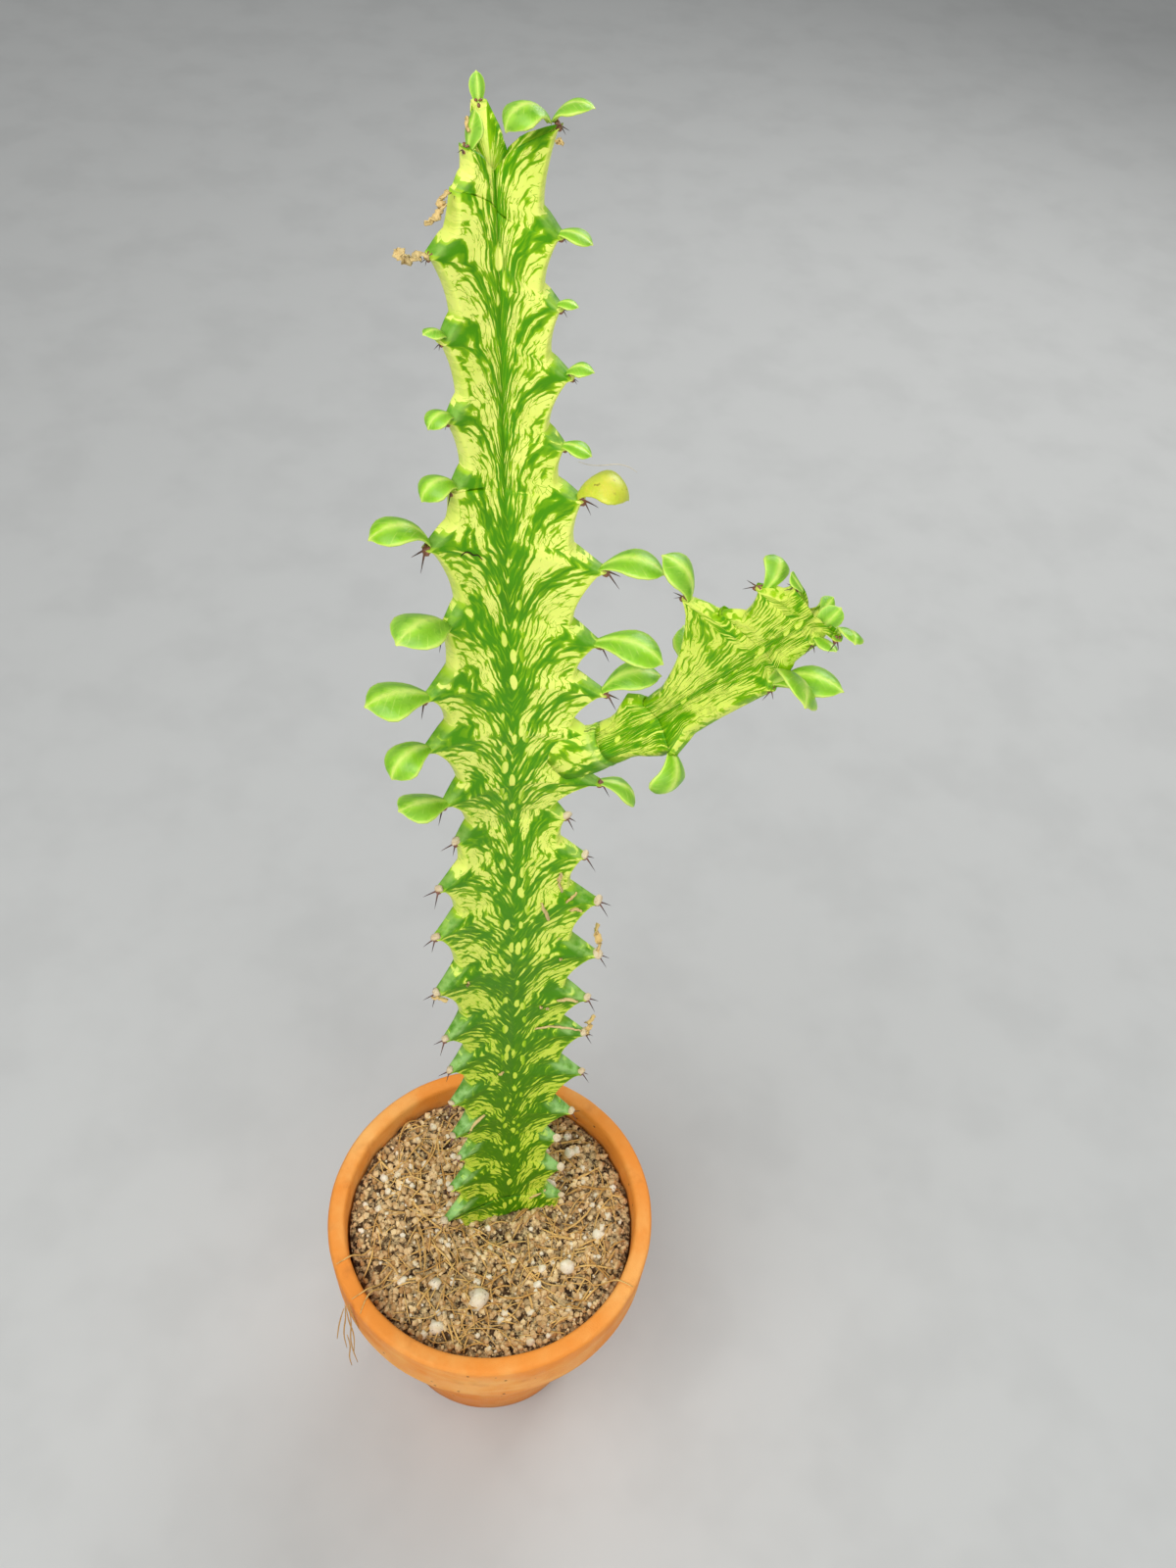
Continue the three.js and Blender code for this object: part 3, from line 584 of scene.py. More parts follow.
def leaf_material():
    """Succulent leaf: a thick waxy blade, so it is satin, with a pale sunken midrib, halves that
    are darker partly in their own green and partly as painted shade, a pale horny margin, faint
    side veins and a blue-grey wax that rubs off in patches."""
    settings = bpy.context.scene.dragon_leaves
    material, tree = new_material("leaf_blade")
    place = add_node(tree, "ShaderNodeTexCoord").outputs["Object"]
    leaf = add_node(tree, "ShaderNodeUVMap", uv_map="leaf").outputs[0]
    split = add_node(tree, "ShaderNodeSeparateXYZ", {0: leaf}).outputs
    along, across = split[0], calc(tree, "ABSOLUTE", split[1])
    tone, age = (
        add_node(tree, "ShaderNodeAttribute", attribute_name=part).outputs["Fac"]
        for part in ("tone", "age")
    )
    patches = ramp(tree, mottle(tree, place, 0.004), 0.32, 0.68)
    # The blade colour holds a painted glow of light through the leaf, besides its own green
    blade = stain(tree, settings.blade, settings.wax, calc(tree, "MULTIPLY", patches, 0.35))
    blade = stain(tree, blade, settings.wax, calc(tree, "MULTIPLY", tone, 0.35))
    blade = stain(tree, blade, linear("4f9c12"), blotch(tree, place, 0.0024, 0.5, 0.8, 0.6))
    # Darker halves beside the midrib: partly the blade's own green, partly painted shade
    away = ramp(tree, across, 0.15, 0.5)
    side = calc(tree, "MULTIPLY", away, ramp(tree, across, 0.6, 0.95, 1.0, 0.2))
    blade = stain(tree, blade, linear("4c9412"), calc(tree, "MULTIPLY", side, 0.45))

    # Side veins leave the midrib about every 1.6 mm and lean towards the tip
    veins_along = calc(tree, "MULTIPLY", along, 8.0)
    phase = calc(tree, "SUBTRACT", veins_along, calc(tree, "MULTIPLY", across, 2.4))
    wave = calc(tree, "ABSOLUTE", calc(tree, "SINE", calc(tree, "MULTIPLY", phase, math.pi)))
    vein = ramp(tree, wave, 0.0, 0.4, 0.3, 0.0)
    vein = calc(tree, "MULTIPLY", vein, ramp(tree, mottle(tree, place, 0.003), 0.4, 0.7))
    blade = stain(tree, blade, settings.vein, vein)
    taper = calc(tree, "MULTIPLY_ADD", along, -0.14, 0.2)
    wobble = calc(tree, "MULTIPLY_ADD", mottle(tree, place, 0.0014), 0.3, -0.15)
    ribbed = calc(tree, "DIVIDE", calc(tree, "ADD", across, wobble), taper)
    blade = stain(tree, blade, settings.vein, ramp(tree, ribbed, 0.2, 2.6, 0.45, 0.0))
    blade = stain(tree, blade, settings.vein, ramp(tree, ribbed, 0.1, 1.0, 0.35, 0.0))
    blade = stain(tree, blade, settings.vein, ramp(tree, across, 0.86, 0.98, 0.0, 0.6))
    blade = stain(tree, blade, settings.vein, ramp(tree, along, 0.9, 1.0, 0.0, 0.75))

    aged = stain(tree, settings.old, linear("e2d84e"), blotch(tree, place, 0.003, 0.4, 0.7, 1.0))
    aged = stain(tree, aged, linear("7b5a20"), blotch(tree, place, 0.0014, 0.62, 0.72, 0.75, 4.0))
    blade = stain(tree, blade, aged, calc(tree, "MULTIPLY", age, 0.85))
    relief = calc(tree, "MULTIPLY_ADD", vein, -1.0, mottle(tree, place, 0.0006))
    surface(
        tree,
        blade,
        ramp(tree, patches, 0.0, 1.0, 0.28, 0.42),
        relief,
        0.00008,
        Subsurface_Weight=0.15,
        Subsurface_Radius=(0.5, 1.0, 0.15),
        Subsurface_Scale=0.001,
        Specular_IOR_Level=0.35,
    )
    return material


def spine_material():
    """Horn: dense and dark, glossy along its sides, paler at the foot than at the tip."""
    settings = bpy.context.scene.dragon_spines
    material, tree = new_material("spine_horn")
    place = add_node(tree, "ShaderNodeTexCoord").outputs["Object"]
    along = add_node(tree, "ShaderNodeAttribute", attribute_name="along").outputs["Fac"]
    horn = stain(tree, settings.base, settings.tip, ramp(tree, along, 0.1, 0.75))
    horn = stain(tree, horn, settings.shield, blotch(tree, place, 0.0012, 0.5, 0.75, 0.6))
    surface(tree, horn, 0.38, mottle(tree, place, 0.0004), 0.00005, IOR=1.54)
    return material


def crust_material(name, main, stained, dark, size, roughness):
    """Dry plant crust or crumbs: no gloss, blotched, with pores as deep as they are wide."""
    material, tree = new_material(name)
    place = add_node(tree, "ShaderNodeTexCoord").outputs["Object"]
    tone = add_node(tree, "ShaderNodeAttribute", attribute_name="tone").outputs["Fac"]
    crust = stain(tree, main, stained, calc(tree, "MULTIPLY", tone, 0.85))
    crust = stain(tree, crust, stained, blotch(tree, place, size, 0.45, 0.7, 0.55))
    crust = stain(tree, crust, dark, blotch(tree, place, size * 0.45, 0.58, 0.75, 0.7, 4.0))
    pores = mottle(tree, place, size * 0.4, 4.0)
    surface(tree, crust, roughness, pores, 0.0003, Specular_IOR_Level=0.25)
    return material


def soil_material():
    """Peat and coir mix: matt, dark where the peat is moist, a dark that also stands for painted shade
    between crumbs, and tan where it has dried.
    """
    settings = bpy.context.scene.dragon_soil
    material, tree = new_material("peat_and_coir")
    place = add_node(tree, "ShaderNodeTexCoord").outputs["Object"]
    # Dark and dried peat in patches; where the bed shows between crumbs its dark is also painted shade
    dried = ramp(tree, mottle(tree, place, 0.0022, 5.0, 0.7), 0.42, 0.6)
    peat = stain(tree, settings.dark, settings.light, dried)
    peat = stain(tree, peat, linear("6e5236"), blotch(tree, place, 0.01, 0.4, 0.65, 0.55))

    # Grit of 1.6 mm, of which one grain in ten is bright
    grit_inputs = {"Vector": place, "Scale": 1 / 0.0016}
    grit = add_node(tree, "ShaderNodeTexVoronoi", grit_inputs, feature="F1").outputs
    chance = add_node(tree, "ShaderNodeSeparateColor", {0: grit["Color"]}).outputs[1]
    bright = ramp(tree, chance, 0.9, 0.92)
    bright = calc(tree, "MULTIPLY", bright, ramp(tree, grit["Distance"], 0.25, 0.35, 0.8, 0.0))
    peat = stain(tree, peat, linear("e4d5b4"), bright)
    crumble = mottle(tree, place, 0.0016, 5.0, 0.75)
    relief = calc(tree, "ADD", crumble, calc(tree, "MULTIPLY", grit["Distance"], -0.6))
    surface(tree, peat, 0.95, relief, 0.0011, Specular_IOR_Level=0.2)
    return material


def clay_material():
    """Terracotta: fired, unglazed and porous, so matt, with fine turning lines round it, iron
    specks and pits under 1 mm, rubbed paler in patches and darker towards its foot."""
    settings = bpy.context.scene.dragon_pot
    material, tree = new_material("terracotta")
    place = add_node(tree, "ShaderNodeTexCoord").outputs["Object"]
    height = add_node(tree, "ShaderNodeSeparateXYZ", {0: place}).outputs[2]
    rubbed = blotch(tree, place, 0.02, 0.4, 0.75, 0.55, 5.0)
    clay = stain(tree, settings.clay, settings.light_clay, rubbed)
    clay = stain(tree, clay, settings.dark_clay, blotch(tree, place, 0.009, 0.56, 0.8, 0.4, 5.0))
    smear = mottle(tree, stretched(tree, place, (0.03, 0.03, 0.004)), 1.0, 4.0)
    clay = stain(tree, clay, settings.light_clay, ramp(tree, smear, 0.5, 0.75, 0.0, 0.35))
    # Darker towards the foot, over its lowest 40 mm
    foot_darkening = ramp(tree, height, 0.0, 0.04, 0.45, 0.0)
    clay = stain(tree, clay, settings.dark_clay, foot_darkening)

    # Pits up to 0.6 mm from their middle, about 4 mm apart, in a quarter of the places
    pit_inputs = {"Vector": place, "Scale": 1 / 0.0042}
    pits = add_node(tree, "ShaderNodeTexVoronoi", pit_inputs, feature="F1").outputs
    chance = add_node(tree, "ShaderNodeSeparateColor", {0: pits["Color"]}).outputs[2]
    pit = ramp(tree, pits["Distance"], 0.06, 0.15, 1.0, 0.0)
    pit = calc(tree, "MULTIPLY", pit, ramp(tree, chance, 0.72, 0.76))
    clay = stain(tree, clay, linear("5d2f17"), calc(tree, "MULTIPLY", pit, 0.85))

    # Turning lines are 0.7 mm apart, and the grit of the clay is 0.5 mm
    lines = calc(tree, "SINE", calc(tree, "MULTIPLY", height, 2 * math.pi / 0.0007))
    relief = calc(tree, "MULTIPLY_ADD", lines, 0.06, mottle(tree, place, 0.0005, 4.0, 0.7))
    relief = calc(tree, "MULTIPLY_ADD", pit, -1.2, relief)
    relief = calc(tree, "MULTIPLY_ADD", mottle(tree, place, 0.012), 1.6, relief)
    roughness = ramp(tree, mottle(tree, place, 0.006), 0.3, 0.7, 0.5, 0.72)
    surface(tree, clay, roughness, relief, 0.00022, Specular_IOR_Level=0.2)
    return material


def floor_material():
    """Painted board: matt and even."""
    material, tree = new_material("pale_board")
    place = add_node(tree, "ShaderNodeTexCoord").outputs["Object"]
    board = bpy.context.scene.dragon_stage.floor
    shade = tuple(0.94 * part for part in board)
    surface(tree, stain(tree, board, shade, blotch(tree, place, 0.05, 0.4, 0.7, 1.0)), 0.8)
    return material


# Stems


def stem_line(heights):
    """Places and axes of the main stem's section at heights: origins, fronts, sides and ups."""
    heights = np.asarray(heights, float)
    climb = np.maximum(0, heights - SOIL_LEVEL) / STEM_SPAN
    azimuth = math.radians(STEM_FACE_AZIMUTH)
    lean = STEM_LEAN[0] + STEM_LEAN[1] * climb**2
    origin = np.stack([lean, np.full_like(heights, STEM_DEPTH), heights], -1)
    front = np.broadcast_to([math.cos(azimuth), math.sin(azimuth), 0], origin.shape)
    side = np.broadcast_to([-math.sin(azimuth), math.cos(azimuth), 0], origin.shape)
    return origin, front, side, np.broadcast_to([0.0, 0.0, 1.0], origin.shape)


def curve_point(share):
    """A point of the branch's middle line, which is a quadratic curve."""
    share = np.asarray(share, float)[..., None]
    start, bend, end = (np.array(point, float) for point in (BRANCH_START, BRANCH_BEND, BRANCH_END))
    return (1 - share) ** 2 * start + 2 * share * (1 - share) * bend + share**2 * end


def curve_heading(share):
    share = np.asarray(share, float)[..., None]
    start, bend, end = (np.array(point, float) for point in (BRANCH_START, BRANCH_BEND, BRANCH_END))
    return unit((1 - share) * (bend - start) + share * (end - bend))


BRANCH_SHARES = np.linspace(0, 1, 401)
BRANCH_RUN = np.concatenate(
    [[0], np.cumsum(np.linalg.norm(np.diff(curve_point(BRANCH_SHARES), axis=0), axis=1))]
)
BRANCH_LENGTH = BRANCH_RUN[-1]


def branch_line(distances):
    """Places and axes of the branch's section at distances from its neck."""
    distances = np.asarray(distances, float)
    along = np.clip(distances, 0, BRANCH_LENGTH)
    share = np.interp(along, BRANCH_RUN, BRANCH_SHARES)
    up = curve_heading(share)
    origin = curve_point(share) + up * (distances - along)[..., None]
    front = np.array(BRANCH_FRONT) - up * (up @ np.array(BRANCH_FRONT))[..., None]
    front = unit(front)
    return origin, front, np.cross(up, front), up


def hidden_rib(left, right):
    """Teeth of the rib behind, between its neighbours in height and in size."""
    teeth = []
    for i, tooth in enumerate(left):
        after = min(i + 1, len(left) - 1)
        pitch = (left[after][0] + right[after][0] - tooth[0] - right[i][0]) / 2
        leaf = (tooth[2] + right[i][2]) / 2 if tooth[2] and right[i][2] else 0
        growth = HIDDEN_CROWN_LEAF if i == len(left) - 1 else (leaf,)
        height = (tooth[0] + right[i][0]) / 2 + 0.5 * pitch
        teeth.append((height, (tooth[1] + right[i][1]) / 2, *growth))
    return teeth


STEM_TEETH = [RIGHT_TEETH, hidden_rib(LEFT_TEETH, RIGHT_TEETH), LEFT_TEETH]
STEM_BANDS = [RIGHT_BANDS, BACK_BANDS, LEFT_BANDS]
BRANCH_TEETH = [BRANCH_RIGHT_TEETH, BRANCH_BACK_TEETH, BRANCH_LEFT_TEETH]


def rib_angle(rib):
    """The way a rib points, turned from the front of its stem."""
    return math.radians(60 + 120 * rib)


def rib_edge(lower, upper, place, deepest):
    """The rib's edge on the way from a tooth up to the next: height, reach, valley and half width."""
    if place < VALLEY_PLACE:
        depth = (place / VALLEY_PLACE) ** 0.85
    else:
        depth = 1 - ((place - VALLEY_PLACE) / (1 - VALLEY_PLACE)) ** 1.8
    hook = TIP_HOOK * min(1, place / 0.1, (1 - place) / 0.1)
    reach = blend(lower[1], upper[1], place)
    return (
        blend(lower[0], upper[0], place) + hook,
        reach * (1 - SCALLOP_DEPTH * depth),
        min(reach * (1 - SCALLOP_DEPTH), deepest),
        blend(TIP_HALF, MARGIN_HALF, depth),
    )


def rib_rows(teeth, foot, deepest):
    """Rows of rib edges up a stem, as an array of row, rib and measure, and the tooth that each has
    reached, with its share of the way to the next one."""
    rows = [[(height, reach, reach, MARGIN_HALF)] * 3 for height, reach in foot]
    marks = [-1.0] * len(rows)
    soil_line = foot[-1]
    below = (soil_line[0], soil_line[1] / (1 - SCALLOP_DEPTH))
    for place in SOIL_LINE_STEPS:
        rows.append([rib_edge(below, rib[0], place, deepest) for rib in teeth])
        marks.append(place - 1)
    for tooth in range(len(teeth[0]) - 1):
        for place in PITCH_STEPS:
            rows.append([rib_edge(rib[tooth], rib[tooth + 1], place, deepest) for rib in teeth])
            marks.append(tooth + place)
    rows.append([rib_edge(rib[-2], rib[-1], 1, deepest) for rib in teeth])
    marks.append(len(teeth[0]) - 1)
    return np.array(rows, float), np.array(marks, float)


def wing_curve(reach, half, face_radius, place):
    """Half a wing in its rib's own plane, from the margin at place 0 to the face's middle at 1."""
    face_x = face_radius * math.cos(math.pi / 3)
    face_y = face_radius * math.sin(math.pi / 3)
    root_half = np.minimum(WING_ROOT_HALF, 0.85 * face_y)
    root_x = np.minimum(face_x + (face_y - root_half) * math.tan(math.pi / 3), 0.86 * reach)
    near, middle, far = (1 - place) ** 2, 2 * place * (1 - place), place**2
    x = near * reach + middle * root_x + far * face_x
    return x, near * half + middle * root_half + far * face_y


def skin_columns():
    """The columns of a skin: rib, side of the rib, place on the wing or turn round its margin."""
    columns = []
    for rib in range(3):
        after = (rib + 1) % 3
        columns.append((rib, 1, None, 0))
        columns += [(rib, 1, None, turn) for turn in MARGIN_TURNS]
        columns += [(rib, 1, place, 90) for place in WING_PLACES]
        columns.append((rib, 1, 1, 90))
        columns += [(after, -1, place, 90) for place in reversed(WING_PLACES)]
        columns += [(after, -1, None, turn) for turn in reversed(MARGIN_TURNS)]
    return columns


def skin_grid(rows, line, sinks, roundness):
    """Points of a stem's skin as an array of row, column and axis, with each column's margin share."""
    heights, reaches, valleys, halves = (rows[:, :, i] for i in range(4))
    points = []
    shares = []
    levels = []
    for rib, side, place, turn in skin_columns():
        face_rib = rib if side > 0 else (rib + 2) % 3
        other = (face_rib + 1) % 3
        face_height = (heights[:, face_rib] + heights[:, other]) / 2 - sinks
        face_radius = FACE_DEPTH * (valleys[:, face_rib] + valleys[:, other]) / 2
        reach, half = reaches[:, rib], halves[:, rib]
        if place is None:
            angle = math.radians(turn)
            x, y = reach + 0.25 * half * math.cos(angle), half * math.sin(angle)
            level, share = heights[:, rib], 1.0
        else:
            x, y = wing_curve(reach, half, face_radius, place)
            level, share = blend(heights[:, rib], face_height, place), 1.0 - place
        angle = rib_angle(rib)
        across = side * y
        cosine, sine = math.cos(angle), math.sin(angle)
        flat = np.stack([x * cosine - across * sine, x * sine + across * cosine], -1)
        if roundness is not None:
            flat = blend(flat, unit(flat) * NECK_RADIUS, roundness[:, None])
        origin, front, sideways, _ = line(level)
        points.append(origin + front * flat[:, :1] + sideways * flat[:, 1:])
        shares.append(share)
        levels.append(level)
    return np.stack(points, 1), np.array(shares), np.stack(levels, 1)


def tooth_count(teeth, level):
    """How many teeth lie below a level of a rib, with its share of the way to the next one."""
    marks = [tooth[0] for tooth in teeth]
    marks = [marks[0] - 20, *marks, marks[-1] + 14]
    return np.interp(level, marks, np.arange(len(marks)))


def growth_fields(teeth, bands, shares, levels, sweep, low_from, low_to, green, seed):
    """Where the skin is green, waxy with a painted sheen on the ridges, pale-edged, old or in the
    middle of a face, for each row and column. Bands start at the teeth, and fall by the sweep on
    their way to the face's middle."""
    random = np.random.default_rng(seed)
    tables = random.random((3, 40, 2))
    fall = sweep * (1 - shares) ** 1.7
    flow = levels + fall[None, :]
    shade = np.zeros_like(levels)
    wax = np.zeros_like(levels)
    edge = np.zeros_like(levels)
    middle = np.zeros_like(levels)
    low = 1 - smoothstep(low_from, low_to, levels)
    for column, (rib, _, place, _) in enumerate(skin_columns()):
        ribs = [rib, (rib + 1) % 3] if place == 1 else [rib]
        t = shares[column]
        for r in ribs:
            count = tooth_count(teeth[r], flow[:, column])
            index = np.clip(count.astype(int), 0, 39)
            p = count - index
            heights, parts = zip(*bands[r])
            width = np.interp(flow[:, column], heights, parts) + 0.14 * (tables[r, index, 0] - 0.5)
            width = blend(np.minimum(width, 0.2), width, 1 - smoothstep(0.7, 0.95, t))
            band = smoothstep(-0.01, 0.03, p) * (1 - smoothstep(width - 0.03, width + 0.08, p))
            band *= 0.7 + 0.3 * tables[r, index, 1]
            striped = smoothstep(0.7, 0.98, p) * (0.36 + 0.2 * tables[r, index, 1])
            dark = np.maximum(np.maximum(band, striped), 0.9 * smoothstep(0.97, 1, p))
            reach = 0.14 + 0.02 * low[:, column] + 0.04 * np.sin(levels[:, column] * 0.11 + 2 * r)
            spine = 1 - smoothstep(reach - 0.06, reach + 0.2, t)
            dark = 1 - (1 - np.clip(dark, 0, 1)) * (1 - 0.9 * spine)
            shade[:, column] += (0.24 + 0.08 * low[:, column] + (0.46 + 0.3 * green) * dark) / len(ribs)
        margin = tooth_count(teeth[rib], levels[:, column])
        index = np.floor(margin).astype(int)
        p = margin - index
        bears = np.array([False] + [tooth[2] is not None for tooth in teeth[rib]] + [False])
        bearing = bears[np.clip(index, 0, len(bears) - 1)]
        # Near the margin above each bearing tooth: partly real wax, partly painted sheen
        ridge = smoothstep(0.0, 0.03, p) * (1 - smoothstep(0.17, 0.27, p)) * bearing
        brink = 0.955 - 0.12 * low[:, column]
        wax_and_sheen = ridge * smoothstep(brink - 0.07, brink + 0.03, t)
        wax[:, column] = wax_and_sheen * (0.35 + 0.65 * low[:, column]) * green
        paleness = (0.7 - 0.5 * low[:, column]) * green**4
        edge[:, column] = (1 - ridge) * smoothstep(0.975, 1, t) * paleness
        middle[:, column] = 1 - smoothstep(0.12, 0.26, t)
    return flow, {"shade": shade, "bloom_and_sheen": wax, "rim": edge, "low": low, "middle": middle}


def swollen(points, shares, shade, size):
    """Relief of the skin: a low swell along each green band, and gentle unevenness, in millimetres."""
    belly = np.sin(math.pi * np.clip(shares, 0, 1) ** 0.7)[None, :]
    swell = 0.5 * shade * belly * size
    uneven = np.zeros(points.shape[:2])
    for i in range(points.shape[0]):
        for j in range(points.shape[1]):
            place = Vector(points[i, j])
            uneven[i, j] = 0.32 * noise.noise(place / 8) + 0.12 * noise.noise(place / 2.6)
    return swell + uneven * size * (0.35 + 0.65 * belly)


def skin_object(name, points, shares, shade, size, ends, material):
    """A closed skin over a grid of points, between a foot point and a crown point."""
    count, sides = points.shape[:2]
    start = 1
    faces = []
    corners = []
    for i in range(sides):
        after = (i + 1) % sides
        faces.append((0, start + after, start + i))
        corners.append(((0, after), (0, after), (0, i)))
    for row in range(count - 1):
        low, high = start + row * sides, start + (row + 1) * sides
        for i in range(sides):
            after = (i + 1) % sides
            faces.append((low + i, low + after, high + after, high + i))
            corners.append(((row, i), (row, after), (row + 1, after), (row + 1, i)))
    last = start + (count - 1) * sides
    top = start + count * sides
    for i in range(sides):
        after = (i + 1) % sides
        faces.append((last + i, last + after, top))
        corners.append(((count - 1, i), (count - 1, after), (count - 1, after)))
    everything = np.concatenate([[ends[0]], points.reshape(-1, 3), [ends[1]]])
    thing = mesh_object(name, everything, faces, material)
    normals = np.array([normal.vector for normal in thing.data.vertex_normals])
    lift = np.concatenate([[0], swollen(points, shares, shade, size).ravel(), [0]])
    raised = everything + normals * lift[:, None]
    thing.data.vertices.foreach_set("co", (raised * MM).astype(np.float32).ravel())
    thing.data.update()
    return thing, corners


def flow_map(thing, corners, flow, shares, sweep, width, lengthwise):
    """UVs in metres that follow the skin's growth, from the face's middle out to each tooth, or along
    the stem."""
    steps = np.linspace(0, 1, 201)
    slope = 0 if lengthwise else sweep * 1.7 * (1 - steps[:-1]) ** 0.7
    run = np.concatenate([[0], np.cumsum(np.hypot(width, slope) / 200 * np.ones(200))])
    along = np.interp(shares, steps, run)
    face_columns = len(shares) // 3
    turning = face_columns // 2
    values = []
    for corner in corners:
        columns = [column for _, column in corner]
        wraps = max(columns) - min(columns) > face_columns
        face = 2 if wraps else min(columns) // face_columns
        for row, column in corner:
            local = face_columns if wraps and column == 0 else column - face * face_columns
            across = along[column] if local <= turning else -along[column]
            level = flow[row, column] + FACE_SPACING * face
            values.append((across * MM, level * MM) if lengthwise else (level * MM, across * MM))
    corner_map(thing, "flow", values)


def make_skin(name, teeth, bands, foot, line, deepest, crown_sink, roundness_at, growth, material):
    """A stem's skin. Its growth has the bands' sweep and the half face's width in millimetres, the
    heights between which the old skin ends, the size of its swellings, how green its bands are, and
    whether its cells lie lengthwise."""
    sweep, width, low_marks, size, green, lengthwise = growth
    rows, marks = rib_rows(teeth, foot, deepest)
    means = rows[:, :, 0].mean(1)
    crown = marks - (len(teeth[0]) - 2)
    sinks = crown_sink * np.interp(crown, CROWN_PLACES, np.linspace(0, 1, len(CROWN_PLACES))) ** 2
    roundness = roundness_at(means) if roundness_at else None
    points, shares, levels = skin_grid(rows, line, sinks, roundness)
    flow, fields = growth_fields(teeth, bands, shares, levels, sweep, *low_marks, green, 7)
    ends = [line(np.array([rows[0, 0, 0]]))[0][0], line(np.array([means[-1] - crown_sink - 0.6]))[0][0]]
    thing, corners = skin_object(name, points, shares, fields["shade"], size, ends, material)
    flow_map(thing, corners, levels if lengthwise else flow, shares, sweep, width, lengthwise)
    for part, values in fields.items():
        flat = values.ravel()
        point_attribute(thing, part, np.concatenate([[flat[0]], flat, [flat[-1]]]))
    return thing


# Leaves, spines and what is left of fallen leaves


class Bundle:
    """Points and faces of many small shapes that are kept as one mesh."""

    def __init__(self):
        self.points = []
        self.faces = []
        self.corners = []
        self.fields = {}
        self.count = 0

    def add(self, points, faces, corners=None, **fields):
        points = np.asarray(points, float)
        self.points.append(points)
        self.faces += [tuple(self.count + i for i in face) for face in faces]
        if corners is not None:
            self.corners += corners
        for name, value in fields.items():
            values = np.broadcast_to(np.asarray(value, float), (len(points),))
            self.fields.setdefault(name, []).append(values)
        self.count += len(points)

    def build(self, name, material):
        thing = mesh_object(name, np.concatenate(self.points), self.faces, material)
        for part, values in self.fields.items():
            point_attribute(thing, part, np.concatenate(values))
        return thing


def tube_faces(rings, sides):
    """Faces of a tube of rings, seen from outside."""
    faces = []
    for i in range(rings - 1):
        for k in range(sides):
            after = (k + 1) % sides
            a, b = i * sides, (i + 1) * sides
            faces.append((a + k, a + after, b + after, b + k))
    return faces


def sheet_faces(rows, columns):
    """Faces of a thin blade: a grid of points on top, the same grid under it, and its rim."""
    count = rows * columns
    faces = []
    for i in range(rows - 1):
        for j in range(columns - 1):
            a = i * columns + j
            faces.append((a, a + columns, a + columns + 1, a + 1))
            faces.append((count + a, count + a + 1, count + a + columns + 1, count + a + columns))
        a, b = i * columns, (i + 1) * columns
        faces.append((a, count + a, count + b, b))
        a, b = a + columns - 1, b + columns - 1
        faces.append((a, b, count + b, count + a))
    for j in range(columns - 1):
        faces.append((j, j + 1, count + j + 1, count + j))
        end = (rows - 1) * columns + j
        faces.append((end, count + end, count + end + 1, end + 1))
    return faces


def rounded(line, times):
    """A line whose inner points are drawn towards their neighbours a number of times."""
    line = np.array(line, float)
    for _ in range(times):
        line[1:-1] = (line[:-2] + 2 * line[1:-1] + line[2:]) / 4
    return line


def smooth_path(path, parts, times):
    """A path with a number of steps between its points, rounded off a number of times."""
    path = np.asarray(path, float)
    steps = np.linspace(0, len(path) - 1, parts * (len(path) - 1) + 1)
    line = np.stack([np.interp(steps, range(len(path)), path[:, i]) for i in range(3)], -1)
    return rounded(line, times)


def planted(points, place, direction, up):
    """Points that grow along +X from the origin, stood at a place along a direction."""
    x = unit(direction)
    y = unit(np.cross(up, x))
    z = np.cross(x, y)
    return place + np.outer(points[:, 0], x) + np.outer(points[:, 1], y) + np.outer(points[:, 2], z)


def leaf_blade(bundle, size, width, droop, place, direction, up, fold, wave, tone, age):
    """A thick, arched, pointed blade with a sunken midrib, added to a bundle."""
    thickness = bpy.context.scene.dragon_leaves.thickness / MM
    size, width = LEAF_SHRINK * size, LEAF_SHRINK * width
    stations = np.array(BLADE_STATIONS)
    halves = 0.5 * width * np.interp(stations, LEAF_STATIONS, LEAF_OUTLINE)
    halves *= 1 - 0.45 * smoothstep(0.9, 0.985, stations) * (1 - smoothstep(0.985, 1, stations))
    steps = np.linspace(0, 1, 97)
    bends = droop * steps**1.3
    run_x = np.concatenate([[0], np.cumsum(np.cos(bends[:-1] + droop / 200))]) * size / 96
    run_z = -np.concatenate([[0], np.cumsum(np.sin(bends[:-1] + droop / 200))]) * size / 96
    x, z = np.interp(stations, steps, run_x), np.interp(stations, steps, run_z)
    bend = droop * stations**1.3
    across = np.array(BLADE_PLACES)
    rows, columns = len(stations), len(across)
    top = np.zeros((rows, columns, 3))
    under = np.zeros((rows, columns, 3))
    for j, c in enumerate(across):
        fall = fold * LEAF_ARCH * 2 * halves * abs(c) ** 1.5
        fall += 0.22 * math.exp(-((c / 0.16) ** 2)) * np.minimum(1, halves / 2)
        fall += wave * abs(c) ** 2 * np.sin(7 * stations + 2.2 * c) * halves / 4
        thick = thickness * (1 - 0.65 * c**2) * np.clip(halves / 2.2, 0.25, 1)
        thick += 0.35 * math.exp(-((c / 0.14) ** 2)) * (1 - stations)
        top[:, j] = np.stack([x - fall * np.sin(bend), c * halves, z - fall * np.cos(bend)], -1)
        under[:, j] = top[:, j] - np.stack([thick * np.sin(bend), 0 * bend, thick * np.cos(bend)], -1)
    points = planted(np.concatenate([top.reshape(-1, 3), under.reshape(-1, 3)]), place, direction, up)
    faces = sheet_faces(rows, columns)
    grid = [(s, c) for s in stations for c in across] * 2
    corners = [grid[i] for face in faces for i in face]
    bundle.add(points, faces, corners, tone=tone, age=age)


